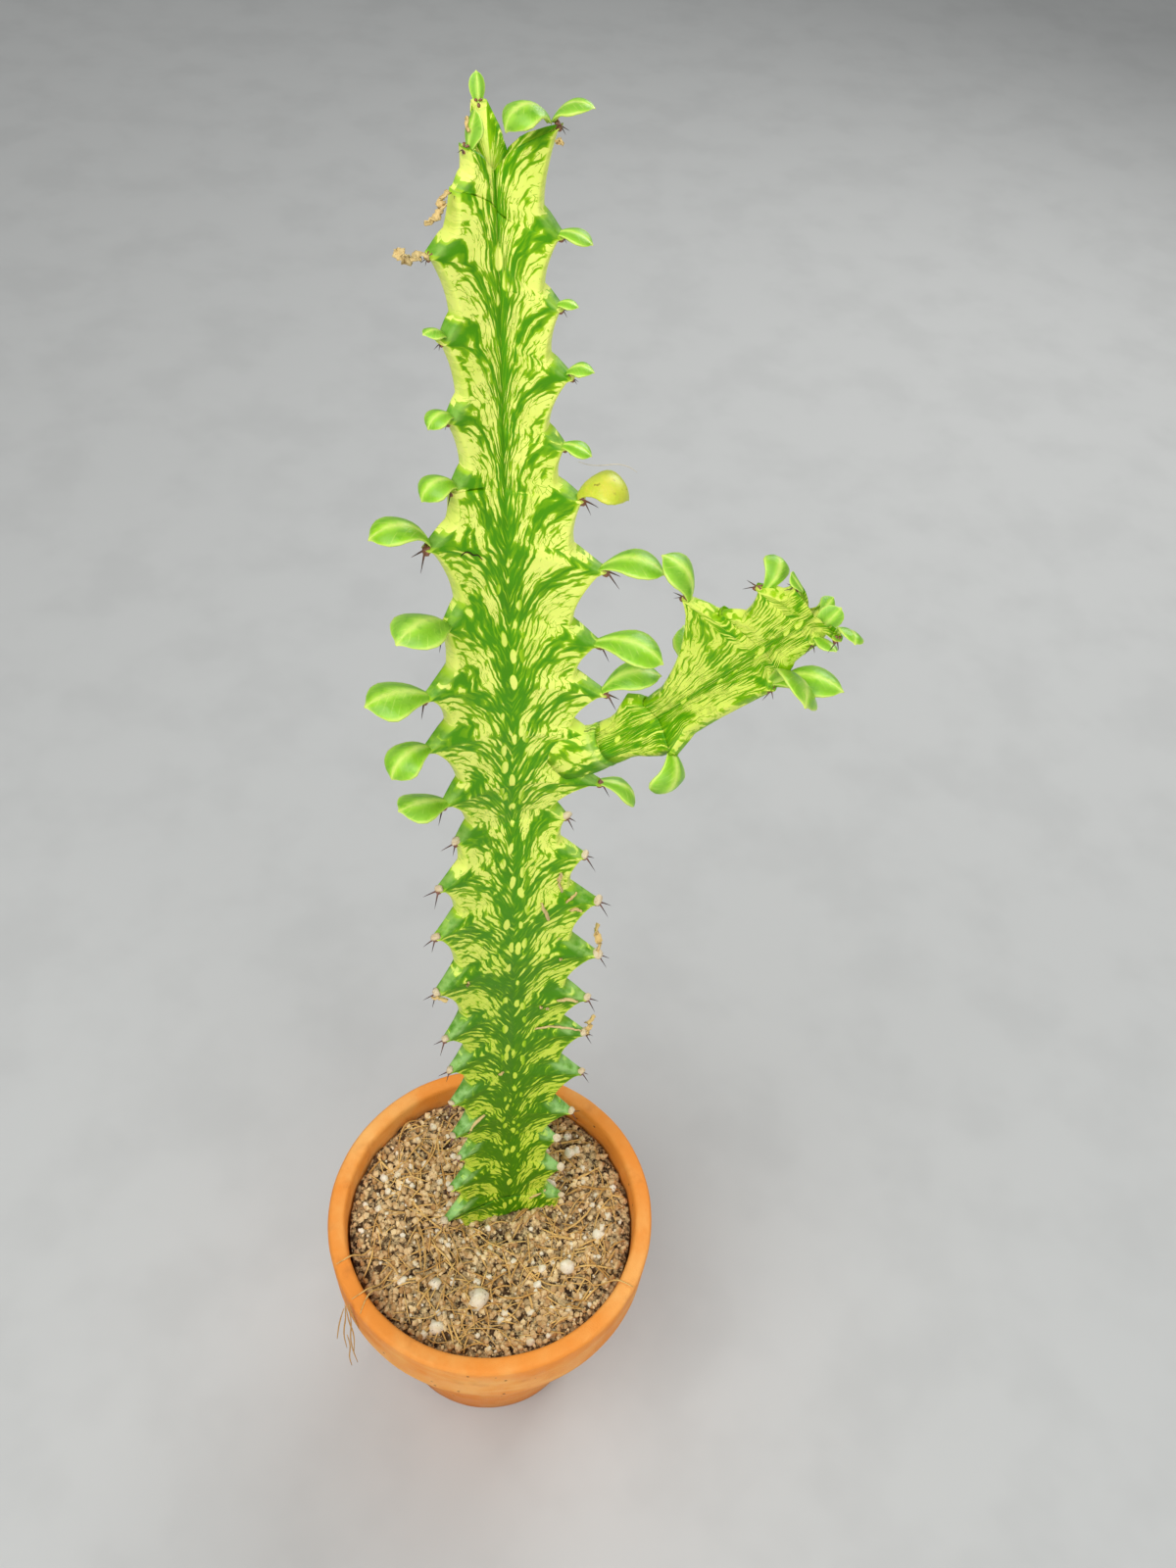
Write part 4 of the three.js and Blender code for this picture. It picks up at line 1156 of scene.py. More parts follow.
def spine(bundle, size, place, direction, up, curl, radius):
    """A slightly curved spike with its foot in the shield."""
    sides = 6
    shares = np.array([0, 0.12, 0.3, 0.52, 0.74, 0.9])
    radii = radius * np.array([1.25, 1.0, 0.74, 0.5, 0.3, 0.16])
    x = -1 + (size + 1) * shares
    drop = -curl * size * shares**2
    points = []
    for i in range(len(shares)):
        for k in range(sides):
            angle = 2 * math.pi * k / sides
            points.append((x[i], radii[i] * math.cos(angle), drop[i] + radii[i] * math.sin(angle)))
    points += [(x[0], 0, 0), (size, 0, -curl * size)]
    faces = tube_faces(len(shares), sides)
    foot, tip = len(points) - 2, len(points) - 1
    last = (len(shares) - 1) * sides
    for k in range(sides):
        after = (k + 1) % sides
        faces.append((foot, after, k))
        faces.append((last + k, last + after, tip))
    along = [share for share in shares for _ in range(sides)] + [0, 1]
    bundle.add(planted(np.array(points), place, direction, up), faces, along=along)


def lump(name, stretch, roughen, seed, subdivisions=2):
    """A small uneven lump about 2 wide, shaped from a sphere, as points and faces."""
    deselect_all()
    bpy.ops.mesh.primitive_ico_sphere_add(subdivisions=subdivisions, radius=1, location=(0, 0, 0))
    thing = bpy.context.object
    thing.name = name
    bpy.ops.object.mode_set(mode="EDIT")
    bpy.ops.mesh.select_all(action="SELECT")
    bpy.ops.transform.resize(value=stretch)
    bpy.ops.transform.vertex_random(offset=roughen, uniform=0.2, normal=0.6, seed=seed)
    bpy.ops.object.mode_set(mode="OBJECT")
    points = np.array([vertex.co[:] for vertex in thing.data.vertices])
    faces = [tuple(face.vertices) for face in thing.data.polygons]
    bpy.data.objects.remove(thing, do_unlink=True)
    return points, faces


def turned(points, random, size):
    """Points of a lump, turned at random and brought to a size in millimetres."""
    angles = random.random(3) * 2 * math.pi
    first, second, third = (Matrix.Rotation(angle, 3, axis) for angle, axis in zip(angles, "XYZ"))
    return points @ np.array(first @ second @ third).T * size


def usual_habit(stream):
    """The usual way for a leaf to grow, with some chance."""
    return {
        "rise": LEAF_RISE + 14 * (next(stream) - 0.5),
        "swing": 20 * (next(stream) - 0.5),
        "droop": LEAF_DROOP + 24 * (next(stream) - 0.5),
        "width": LEAF_WIDTH_RATIO,
    }


def stem_youth(height):
    """Length of the main stem's spines at a height, as a share of the old ones."""
    return blend(1, YOUNG_SPINE_SHARE, smoothstep(*YOUNG_TEETH, height))


def resized(lump_points, detail, size, stretch, place, outward, up):
    """A lump turned a little at random, stretched along the tooth and set at a place."""
    shape = turned(lump_points, detail, 0.25) + planted(lump_points * stretch, np.zeros(3), outward, up)
    return (shape - shape.mean(0)) * size + place


def teeth_growth(teeth, line, seed, bundles, lumps, callus_below, youth_at):
    """What grows on every tooth: a shield with two spines, and leaves or the callus of a fallen one."""
    stream = random_stream(seed)
    detail = np.random.default_rng(seed)
    radius = bpy.context.scene.dragon_spines.radius / MM
    for k, rib in enumerate(teeth):
        angle = rib_angle(k)
        for height, reach, leaf, *habits in rib:
            if leaf is None:
                continue
            origin, front, side, up = (part[0] for part in line(np.array([height])))
            outward = front * math.cos(angle) + side * math.sin(angle)
            across = np.cross(up, outward)
            tip = origin + outward * reach
            youth = youth_at(height)
            for turn in (-1, 1):
                fall = SPINE_FALL + 0.3 * next(stream)
                direction = outward - up * fall + across * turn * (SPINE_SPREAD + 0.3 * next(stream))
                size = blend(*SPINE_LENGTH, next(stream)) * youth
                curl = 0.06 + 0.14 * detail.random()
                spine(bundles["spines"], size, tip, direction, up, curl, radius * (0.4 + 0.6 * youth))
            place = tip - up * 0.5 - outward * 0.3
            points, faces = lumps["shield"]
            pad = resized(points, detail, 0.25 + 0.6 * youth, (1.1, 0.95, 1.2), place, outward, up)
            bundles["shields"].add(pad, faces, along=0.2)
            leaves = []
            if leaf:
                leaves.append({"length": leaf, **(habits[0] if habits else usual_habit(stream))})
            leaves += habits[1:]
            for habit in leaves:
                climb, turn = math.radians(habit["rise"]), math.radians(habit["swing"])
                direction = outward * math.cos(climb) * math.cos(turn)
                direction = direction + across * math.cos(climb) * math.sin(turn) + up * math.sin(climb)
                full = habit["length"] + LEAF_SINK
                place = tip - outward * habit.get("sink", LEAF_SINK) + up * habit.get("lift", LEAF_LIFT)
                fold, wave, tone = 0.7 + 0.7 * detail.random(), 0.5 * detail.random(), detail.random()
                leaf_blade(
                    bundles["leaves"],
                    full,
                    habit["width"] * full,
                    math.radians(habit["droop"]),
                    place,
                    direction,
                    up,
                    fold,
                    wave,
                    tone,
                    habit.get("age", 0),
                )
            if not leaves and height < callus_below:
                size = 0.75 + 0.3 * detail.random()
                place = tip + up * 0.6 - outward * 0.1
                points, faces = lumps["callus"]
                scar = resized(points, detail, size, (1.2, 1.3, 1.1), place, outward, up)
                bundles["calluses"].add(scar, faces, tone=0.5 * detail.random())


def dry_ribbon(bundle, path, width, curl, seed):
    """A shrivelled strip along a path of points, curled across and closed all round."""
    random = np.random.default_rng(seed)
    line = smooth_path(path, 5, 3)
    line[1:-1] += random.normal(0, 0.12, (len(line) - 2, 3))
    heading = unit(np.gradient(line, axis=0))
    roll = np.cumsum(random.normal(curl, abs(curl) + 0.1, len(line)))
    first = unit(np.cross(heading, [0.3, 0.2, 1]))
    second = np.cross(heading, first)
    points = []
    shares = np.array([-1, -0.5, 0, 0.5, 1])
    for sheet in (0.16, -0.16):
        for i in range(len(line)):
            flat = first[i] * math.cos(roll[i]) + second[i] * math.sin(roll[i])
            lift = np.cross(heading[i], flat)
            wide = 0.5 * width * (0.45 + 0.55 * math.sin(math.pi * (i + 1) / (len(line) + 1)))
            for share in shares:
                bowl = 0.45 * wide * share**2 + 0.12 * math.sin(5 * share + i)
                points.append(line[i] + flat * wide * share * 0.9 + lift * (bowl + sheet))
    faces = [face[:1] + face[:0:-1] for face in sheet_faces(len(line), len(shares))]
    bundle.add(points, faces, tone=random.random())


def tooth_tip(rib, height):
    """Tip of the tooth at a height of the main stem, with the way out and up from it."""
    reach = next(tooth[1] for tooth in STEM_TEETH[rib] if tooth[0] == height)
    origin, front, side, up = (part[0] for part in stem_line(np.array([height])))
    angle = rib_angle(rib)
    outward = front * math.cos(angle) + side * math.sin(angle)
    return origin + outward * reach, outward, up


# What the photograph shows at a place across and down it


def camera_axes():
    """The camera's right, up and ahead."""
    yaw, pitch, roll = (math.radians(part) for part in (CAMERA_YAW, CAMERA_PITCH, CAMERA_ROLL))
    level = math.cos(pitch)
    ahead = np.array([math.sin(yaw) * level, math.cos(yaw) * level, -math.sin(pitch)])
    level = unit(np.cross(ahead, [0, 0, 1]))
    above = np.cross(level, ahead)
    right = math.cos(roll) * level + math.sin(roll) * above
    return right, math.cos(roll) * above - math.sin(roll) * level, ahead


def sight(across, down):
    """The line of sight through a place of the photograph, 1 mm ahead."""
    right, up, ahead = camera_axes()
    focus = CAMERA_LENS / SENSOR * max(PICTURE)
    return ahead + right * (across - PICTURE[0] / 2) / focus - up * (down - PICTURE[1] / 2) / focus


def beside(place, across, down, nearer=0):
    """The place seen there that is as far away as a given place, or nearer by some millimetres."""
    _, _, ahead = camera_axes()
    far = (place - np.array(CAMERA_PLACE)) @ ahead - nearer
    return np.array(CAMERA_PLACE) + sight(across, down) * far


def below(place, across, down):
    """The place seen there that is in the upright plane through a given place."""
    heading = sight(across, down)
    return np.array(CAMERA_PLACE) + heading * (place[1] - CAMERA_PLACE[1]) / heading[1]


def skin_tree(name):
    """A skin for finding the places seen on it."""
    mesh = bpy.data.objects[name].data
    points = [vertex.co / MM for vertex in mesh.vertices]
    return BVHTree.FromPolygons(points, [tuple(face.vertices) for face in mesh.polygons])


def on_skin(tree, across, down, lift):
    """The place seen there on a skin, lifted off it by some millimetres, and the way out of it."""
    place, out, _, _ = tree.ray_cast(Vector(CAMERA_PLACE), Vector(sight(across, down)))
    if place is None:
        return None, None
    out = np.array(out)
    if out @ sight(across, down) > 0:
        out = -out
    return np.array(place) + out * lift, out


# Operators


def branch_socket():
    """Points, faces, shade and growth lines of the flare that bears the branch: round at its neck,
    then tall and thin until it lies within the right rib."""
    origin, _, _, up = (part[0] for part in branch_line(np.array([0.0])))
    azimuth = math.radians(STEM_FACE_AZIMUTH + 60)
    across = np.array([-math.sin(azimuth), math.cos(azimuth), 0])
    across = unit(across - up * (across @ up))
    tall = np.cross(up, across)
    sides = 48
    # Steps back from the neck, then half the height above and below, and half the thickness
    stations = [(0.35, 4.3, 4.3, 4.3), (0.4, 4.8, 4.8, 4.8), (0.8, 5.1, 5.1, 5.1)]
    stations += [(1.5, 5.2, 5.2, 5.1), (2.2, 5.05, 5.05, 4.9), (3, 5.4, 5.2, 4.9)]
    stations += [(4.5, 6.2, 5.4, 4.7), (6.5, 7.5, 5.6, 4.3)]
    stations += [(9, 9.2, 5.6, 3.7), (12, 11, 5.2, 3), (15, 12.5, 5, 2.2)]
    points, corners, shade, wax = [], [], [], []
    for back, above, below, half_across in stations:
        for k in range(sides):
            angle = 2 * math.pi * k / sides
            rise = (above if math.cos(angle) > 0 else below) * math.cos(angle)
            points.append(origin - up * back + tall * rise + across * half_across * math.sin(angle))
            lower = smoothstep(-0.2, 0.7, -math.cos(angle))
            shade.append(0.4 + 0.75 * lower)
            wax.append(math.exp(-(((back - 2.2) / 0.9) ** 2)) * 0.75 + 0.25 * (back < 1.5))
            corners.append((5 * angle * MM, -back * MM))
    foot, last = len(points), len(points) + 1
    points += [origin - up * 0.35, origin - up * 15]
    shade += [0.6, 0.6]
    wax += [0, 0]
    corners += [(0, 0), (0, 0)]
    faces = []
    for i in range(len(stations) - 1):
        for k in range(sides):
            after = (k + 1) % sides
            a, b = i * sides, (i + 1) * sides
            faces.append((a + k, b + k, b + after, a + after))
    end = (len(stations) - 1) * sides
    for k in range(sides):
        after = (k + 1) % sides
        faces.append((foot, k, after))
        faces.append((last, end + after, end + k))
    return points, faces, corners, shade, wax


class DRAGON_OT_main_stem(bpy.types.Operator):
    """Grow the main stem's variegated skin"""

    bl_idname = "dragon.main_stem"
    bl_label = "Main Stem"

    def execute(self, context):
        foot = [(height, STEM_FOOT_REACH) for height in (STEM_FOOT, 62, 74, 82, SOIL_LEVEL + 1)]
        material = skin_material("variegated_skin", 0.95, 1)
        growth = (context.scene.dragon_skin.sweep / MM, 23, (150, 330), 1.0, 1.0, False)
        skin = make_skin(
            "stem_skin",
            STEM_TEETH,
            STEM_BANDS,
            foot,
            stem_line,
            math.inf,
            CROWN_SINK,
            None,
            growth,
            material,
        )
        finish_piece(skin, "stem", "main_stem")
        points, faces, corners, shade, wax = branch_socket()
        socket = mesh_object("branch_socket", points, faces, material)
        for part, values in (("shade", shade), ("bloom_and_sheen", wax)):
            point_attribute(socket, part, values)
        for part, value in (("rim", 0.0), ("low", 0.15), ("middle", 0.0)):
            point_attribute(socket, part, [value] * len(points))
        corner_map(socket, "flow", [corners[i] for face in faces for i in face])
        finish_piece(socket, "stem", "main_stem")
        return {"FINISHED"}


class DRAGON_OT_side_branch(bpy.types.Operator):
    """Grow the side branch's variegated skin"""

    bl_idname = "dragon.side_branch"
    bl_label = "Side Branch"

    def execute(self, context):
        material = skin_material("young_variegated_skin", 0.45, 0.27)
        growth = (16, 11, (-60, -40), 0.55, 0.7, True)
        skin = make_skin(
            "branch_skin",
            BRANCH_TEETH,
            BRANCH_BANDS,
            NECK_REACH,
            branch_line,
            BRANCH_VALLEY,
            BRANCH_CROWN_SINK,
            lambda heights: 1 - smoothstep(1, NECK_BLEND, heights),
            growth,
            material,
        )
        finish_piece(skin, "branch", "side_branch")
        return {"FINISHED"}


class DRAGON_OT_growth(bpy.types.Operator):
    """Grow the leaves, spines, shields and calluses of both stems"""

    bl_idname = "dragon.growth"
    bl_label = "Leaves and Spines"

    def execute(self, context):
        spines = context.scene.dragon_spines
        leaf = leaf_material()
        horn = spine_material()
        tints = (spines.callus, linear("c7a878"), linear("7a5a3a"))
        callus = crust_material("leaf_scar", *tints, 0.0012, 0.85)
        lumps = {
            "shield": lump("shield", (1, 0.95, 0.9), 0.12, 3),
            "callus": lump("callus", (1, 1, 0.9), 0.2, 5),
        }
        for stem, teeth, line, seed, callus_below, youth_at in (
            ("stem", STEM_TEETH, stem_line, 5, 300, stem_youth),
            ("branch", BRANCH_TEETH, branch_line, 23, -1, lambda height: BRANCH_SPINE_SHARE),
        ):
            node = "main_stem" if stem == "stem" else "side_branch"
            bundles = {part: Bundle() for part in ("leaves", "spines", "shields", "calluses")}
            teeth_growth(teeth, line, seed, bundles, lumps, callus_below, youth_at)
            for part, bundle in bundles.items():
                if not bundle.count:
                    continue
                material = {"leaves": leaf, "calluses": callus}.get(part, horn)
                thing = bundle.build(f"{stem}_{part}", material)
                if bundle.corners:
                    corner_map(thing, "leaf", bundle.corners)
                finish_piece(thing, stem, node)
        return {"FINISHED"}


class DRAGON_OT_dry_leaves(bpy.types.Operator):
    """Hang the shrivelled remains of leaves on their teeth and lay flakes and scars on the skin"""

    bl_idname = "dragon.dry_leaves"
    bl_label = "Dry Leaves"

    def execute(self, context):
        dry = context.scene.dragon_leaves.dry
        material = crust_material("dry_leaf", dry, linear("dfbd78"), linear("a5803f"), 0.0016, 0.75)
        bundle = Bundle()
        # Rib and tooth, places across and down the photograph, then width and curl
        remains = [
            (2, 437, [(438, 262), (428, 256), (418, 263), (410, 261), (402, 257)], 2.6, 0.25),
            (2, 446, [(457, 194), (448, 202), (452, 213), (445, 222), (433, 227)], 1.7, 0.3),
            (2, 452, [(479, 134), (476, 127), (477, 119)], 0.6, 0.1),
            (0, 456, [(575, 147), (571, 143), (567, 146)], 1.0, 0.2),
            (0, 239, [(610, 972), (614, 962), (606, 953), (610, 942)], 2.3, 0.25),
            (0, 199, [(600, 1056), (602, 1048), (598, 1043), (607, 1036)], 2.0, 0.35),
            (2, 235, [(441, 1017), (449, 1018), (457, 1021)], 1.8, 0.1),
        ]
        for rib, height, places, width, curl in remains:
            tip, _, _ = tooth_tip(rib, height)
            path = [beside(tip, *spot, nearer=1.2) for spot in places]
            dry_ribbon(bundle, path, width, curl, 40 + int(height) + rib)

        # Flakes, scars and crumbs that lie on the skin: places and width
        tree = skin_tree("stem_skin")
        flakes = [
            ([(573, 890), (570, 898), (574, 909)], 1.2),
            ([(553, 921), (557, 929), (560, 938)], 1.3),
            ([(578, 920), (583, 916), (588, 911)], 0.7),
            ([(582, 928), (588, 926), (594, 929)], 1.0),
            ([(568, 1020), (578, 1018), (590, 1021)], 1.1),
            ([(546, 1049), (560, 1046), (578, 1048), (593, 1053)], 0.7),
            ([(478, 1156), (483, 1146), (494, 1137)], 1.2),
            ([(551, 1026), (554, 1027)], 0.7),
            ([(557, 1028), (560, 1028)], 0.7),
            ([(571, 977), (573, 978)], 0.6),
            ([(509, 1096), (513, 1093)], 0.9),
            ([(476, 1005), (478, 1001)], 0.8),
            ([(540, 1222), (556, 1214)], 1.0),
        ]
        for number, (places, width) in enumerate(flakes):
            path = [on_skin(tree, *spot, 0.35)[0] for spot in places]
            if all(step is not None for step in path):
                dry_ribbon(bundle, path, width, 0.05, 90 + number)
        remnants = bundle.build("dry_leaves", material)
        finish_piece(remnants, "stem", "main_stem")

        # A fine pale hair lies across the oldest leaf
        hairs = Bundle()
        tip, _, _ = tooth_tip(0, 386)
        hair = [(590, 471), (602, 475), (616, 475), (630, 473), (642, 476), (650, 482)]
        path = smooth_path([beside(tip, *spot, nearer=5) for spot in hair], 4, 4)
        fibre(hairs, path, 0.09, 0.5)
        tints = (linear("d8cfbb"), linear("c2b69c"), linear("a1947a"))
        pale = crust_material("pale_hair", *tints, 0.001, 0.8)
        finish_piece(hairs.build("pale_hair", pale), "stem", "main_stem")

        # A dark thread on the skin of the left rib
        threads = Bundle()
        squiggle = [(470, 567), (474, 563), (479, 563), (483, 567), (487, 565), (492, 571)]
        path = [on_skin(tree, *spot, 0.12)[0] for spot in squiggle]
        if all(step is not None for step in path):
            fibre(threads, smooth_path(path, 4, 4), 0.16, 0.9)
            tints = (linear("4a3a1c"), linear("33280f"), linear("241a0c"))
            dark = crust_material("dark_thread", *tints, 0.001, 0.8)
            finish_piece(threads.build("dark_thread", dark), "stem", "main_stem")
        return {"FINISHED"}


def soil_height(x, y):
    """Height of the lumpy soil surface in millimetres."""
    broad = np.sin(0.13 * x + 1.1) * np.cos(0.11 * y - 0.4)
    clods = np.sin(0.42 * x - 0.31 * y) * np.sin(0.37 * y + 0.23 * x + 2)
    return SOIL_LEVEL + SOIL_LUMP * (0.6 * broad + 0.7 * clods)


def crumbled(x, y):
    """Soil height with its crumbs."""
    clumps = noise.noise(Vector((x, y, 3)) / 4.2) * 1.1
    small = noise.noise(Vector((x, y, 9)) / 1.7) * 0.7
    return float(soil_height(x, y)) + clumps + small


def soil_radius():
    """Inner radius of the pot at the soil, less the seat gap, in millimetres."""
    pot = bpy.context.scene.dragon_pot
    return (pot.collar_foot_radius - pot.rim_wall) / MM - SEAT_GAP


def extrude_to(radius, last_radius, rise):
    """The selected round face is pulled up by a rise and brought to a radius, as by hand."""
    bpy.ops.mesh.extrude_region_move(TRANSFORM_OT_translate={"value": (0, 0, rise)})
    share = radius / last_radius
    bpy.ops.transform.resize(value=(share, share, 1))


def turn_profile(name, profile, sides):
    """A round solid whose skin passes through rings of radius and height in metres."""
    deselect_all()
    (low_radius, low), (high_radius, high) = profile[:2]
    bpy.ops.mesh.primitive_cone_add(
        vertices=sides,
        radius1=low_radius,
        radius2=high_radius,
        depth=high - low,
        location=(0, 0, (low + high) / 2),
    )
    thing = bpy.context.object
    thing.name = name
    bpy.ops.object.transform_apply(location=True, rotation=True, scale=True)
    bpy.ops.object.mode_set(mode="EDIT")
    bpy.ops.mesh.select_mode(type="FACE")
    bpy.ops.mesh.select_all(action="DESELECT")
    cage = bmesh.from_edit_mesh(thing.data)
    top = max(cage.faces, key=lambda face: face.calc_center_median().z)
    top.select_set(True)
    cage.faces.active = top
    bmesh.update_edit_mesh(thing.data)
    for (last_radius, last), (radius, level) in zip(profile[1:], profile[2:]):
        extrude_to(radius, last_radius, level - last)
    bpy.ops.object.mode_set(mode="OBJECT")
    return thing


class DRAGON_OT_soil(bpy.types.Operator):
    """Fill the pot with crumbly soil"""

    bl_idname = "dragon.soil"
    bl_label = "Soil"

    def execute(self, context):
        pot = context.scene.dragon_pot
        gap = SEAT_GAP * MM
        collar_foot = pot.height - pot.collar_height
        edge = soil_radius() * MM
        profile = [
            (pot.foot_radius - pot.body_wall - gap, pot.floor + gap),
            (pot.body_top_radius - pot.body_wall - gap, collar_foot - pot.body_wall),
            (edge, collar_foot),
            (edge, SOIL_LEVEL * MM),
        ]
        rings = 58
        profile += [(edge * (1 - i / rings), SOIL_LEVEL * MM) for i in range(1, rings)]
        soil = turn_profile("soil_bed", profile, 200)
        for vertex in soil.data.vertices:
            x, y, z = vertex.co / MM
            if z > SOIL_LEVEL - 1:
                level = crumbled(x, y)
                near_wall = math.hypot(x, y) / soil_radius()
                vertex.co.z = (level - 0.8 * max(0, near_wall - 0.9) * 10) * MM
        soil.data.shade_smooth()
        soil.data.materials.append(soil_material())
        finish_piece(soil, "soil", "potting_soil")
        return {"FINISHED"}


def scattered(random, margin):
    """A place on the soil in millimetres, away from the stem and from the wall by a margin."""
    while True:
        angle = 2 * math.pi * random.random()
        distance = (soil_radius() - margin) * math.sqrt(random.random())
        x, y = distance * math.cos(angle), distance * math.sin(angle)
        if math.hypot(x - STEM_LEAN[0], y - STEM_DEPTH) > 9 + margin:
            return x, y


class DRAGON_OT_grit(bpy.types.Operator):
    """Strew crumbs of peat and grains of perlite on the soil"""

    bl_idname = "dragon.grit"
    bl_label = "Crumbs and Perlite"

    def execute(self, context):
        settings = context.scene.dragon_soil
        random = np.random.default_rng(11)
        shapes = [lump(f"crumb_{i}", (1, 0.8, 0.7), 0.25, 20 + i, 1) for i in range(4)]
        crumbs = Bundle()
        for _ in range(settings.crumbs):
            x, y = scattered(random, 1.5)
            points, faces = shapes[random.integers(4)]
            size = 0.35 + 1.25 * random.random() ** 2.4
            place = np.array([x, y, crumbled(x, y) + 0.35 * size])
            crumbs.add(turned(points, random, size) + place, faces, tone=random.random() ** 1.5)
        tints = (linear("b88c56"), linear("fbe2ae"), linear("3a2716"))
        brown = crust_material("peat_crumb", *tints, 0.002, 0.95)
        loose = crumbs.build("soil_crumbs", brown)
        loose.data.shade_flat()
        finish_piece(loose, "soil", "potting_soil")

        shapes = [lump(f"perlite_{i}", (1, 0.85, 0.8), 0.22, 30 + i, 2) for i in range(4)]
        grains = Bundle()
        for x, y, size in LARGE_GRAINS:
            points, faces = shapes[random.integers(4)]
            place = np.array([x, y, crumbled(x, y) + 0.35 * size])
            grains.add(turned(points, random, size) + place, faces, tone=0.1 + 0.25 * random.random())
        for _ in range(settings.grains):
            x, y = scattered(random, 3)
            points, faces = shapes[random.integers(4)]
            size = 0.5 + 1.15 * random.random() ** 2
            place = np.array([x, y, crumbled(x, y) + 0.4 * size])
            grains.add(turned(points, random, size) + place, faces, tone=0.6 * random.random())
        tints = (settings.perlite, linear("dcc898"), linear("5e482c"))
        white = crust_material("perlite", *tints, 0.0022, 0.9)
        finish_piece(grains.build("perlite_grains", white), "soil", "potting_soil")
        return {"FINISHED"}


def fibre(bundle, path, radius, tone):
    """A thin root along a path of points, thinner towards its ends."""
    path = np.asarray(path, float)
    heading = unit(np.gradient(path, axis=0))
    first = unit(np.cross(heading, [0.1, 0.2, 1]))
    second = np.cross(heading, first)
    sides = 5
    points = []
    for i in range(len(path)):
        thin = radius * (0.45 + 0.55 * math.sin(math.pi * (i + 0.5) / len(path)))
        for k in range(sides):
            angle = 2 * math.pi * k / sides
            points.append(path[i] + thin * (first[i] * math.cos(angle) + second[i] * math.sin(angle)))
    faces = tube_faces(len(path), sides)
    last = (len(path) - 1) * sides
    faces.append(tuple(range(sides - 1, -1, -1)))
    faces.append(tuple(last + k for k in range(sides)))
    bundle.add(points, faces, tone=tone)


class DRAGON_OT_fibres(bpy.types.Operator):
    """Lay dry roots and coir fibres on the soil and over the rim"""

    bl_idname = "dragon.fibres"
    bl_label = "Root Fibres"

    def execute(self, context):
        settings = context.scene.dragon_soil
        random = np.random.default_rng(17)
        fibres = Bundle()
        for _ in range(settings.fibres):
            x, y = scattered(random, 3)
            heading = 2 * math.pi * random.random()
            bend = random.normal(0, 0.022)
            reach = 4 + 17 * random.random() ** 1.9
            steps = max(7, int(reach / FIBRE_STEP))
            arch = 0.4 + 1.6 * random.random() ** 2
            path = []
            for i in range(steps):
                inside = math.hypot(x, y) < soil_radius() - 1
                clear = math.hypot(x - STEM_LEAN[0], y - STEM_DEPTH) > 8
                if not (inside and clear):
                    break
                rise = arch * math.sin(math.pi * i / (steps - 1)) + 0.45
                path.append((x, y, crumbled(x, y) + rise))
                bend += random.normal(0, 0.03)
                heading += bend
                x += FIBRE_STEP * math.cos(heading)
                y += FIBRE_STEP * math.sin(heading)
            if len(path) > 4:
                thickness = 0.19 + 0.22 * random.random() ** 2
                fibre(fibres, rounded(path, 2), thickness, random.random() ** 2)

        # Roots that lie over the rim: the way round the pot, the radii of their ends and their bow
        roots = ((-152, 36, 53, 2), (-146, 38, 53.4, -2), (-36, 39, 53.2, 2), (-166, 40, 53, 1))
        for azimuth, start, end, bow in roots:
            path = []
            for share in np.linspace(0, 1, 14):
                radius = blend(start, end, share)
                angle = math.radians(azimuth + 6 * share + bow * math.sin(math.pi * share))
                level = SOIL_LEVEL + 1.5 if radius < soil_radius() - 2 else OVER_LIP
                path.append([radius * math.cos(angle), radius * math.sin(angle), level])
            path = np.array(path)
            over_rim = np.hypot(path[:, 0], path[:, 1]) > 48
            path[:, 2] = np.maximum(rounded(path[:, 2], 4), np.where(over_rim, OVER_LIP, 0))
            fibre(fibres, path, 0.3, 0.3)

        # A tuft of brown threads that hangs over the rim on the front left
        for places in (
            [(352, 1331), (353, 1345), (350, 1360), (354, 1375)],
            [(355, 1333), (359, 1348), (357, 1364), (360, 1378), (365, 1390)],
            [(353, 1333), (356, 1350), (362, 1362), (361, 1381)],
            [(351, 1335), (346, 1350), (344, 1366)],
            [(356, 1331), (361, 1345), (366, 1355)],
            [(354, 1362), (358, 1372), (356, 1384), (359, 1393)],
        ):
            path = smooth_path([below(TUFT_EDGE, *spot) for spot in places], 4, 4)
            fibre(fibres, path, 0.24, 0.8)
        tints = (settings.fibre, linear("b98642"), linear("6b4a28"))
        tan = crust_material("root_fibre", *tints, 0.0015, 0.8)
        finish_piece(fibres.build("root_fibres", tan), "soil", "potting_soil")
        return {"FINISHED"}


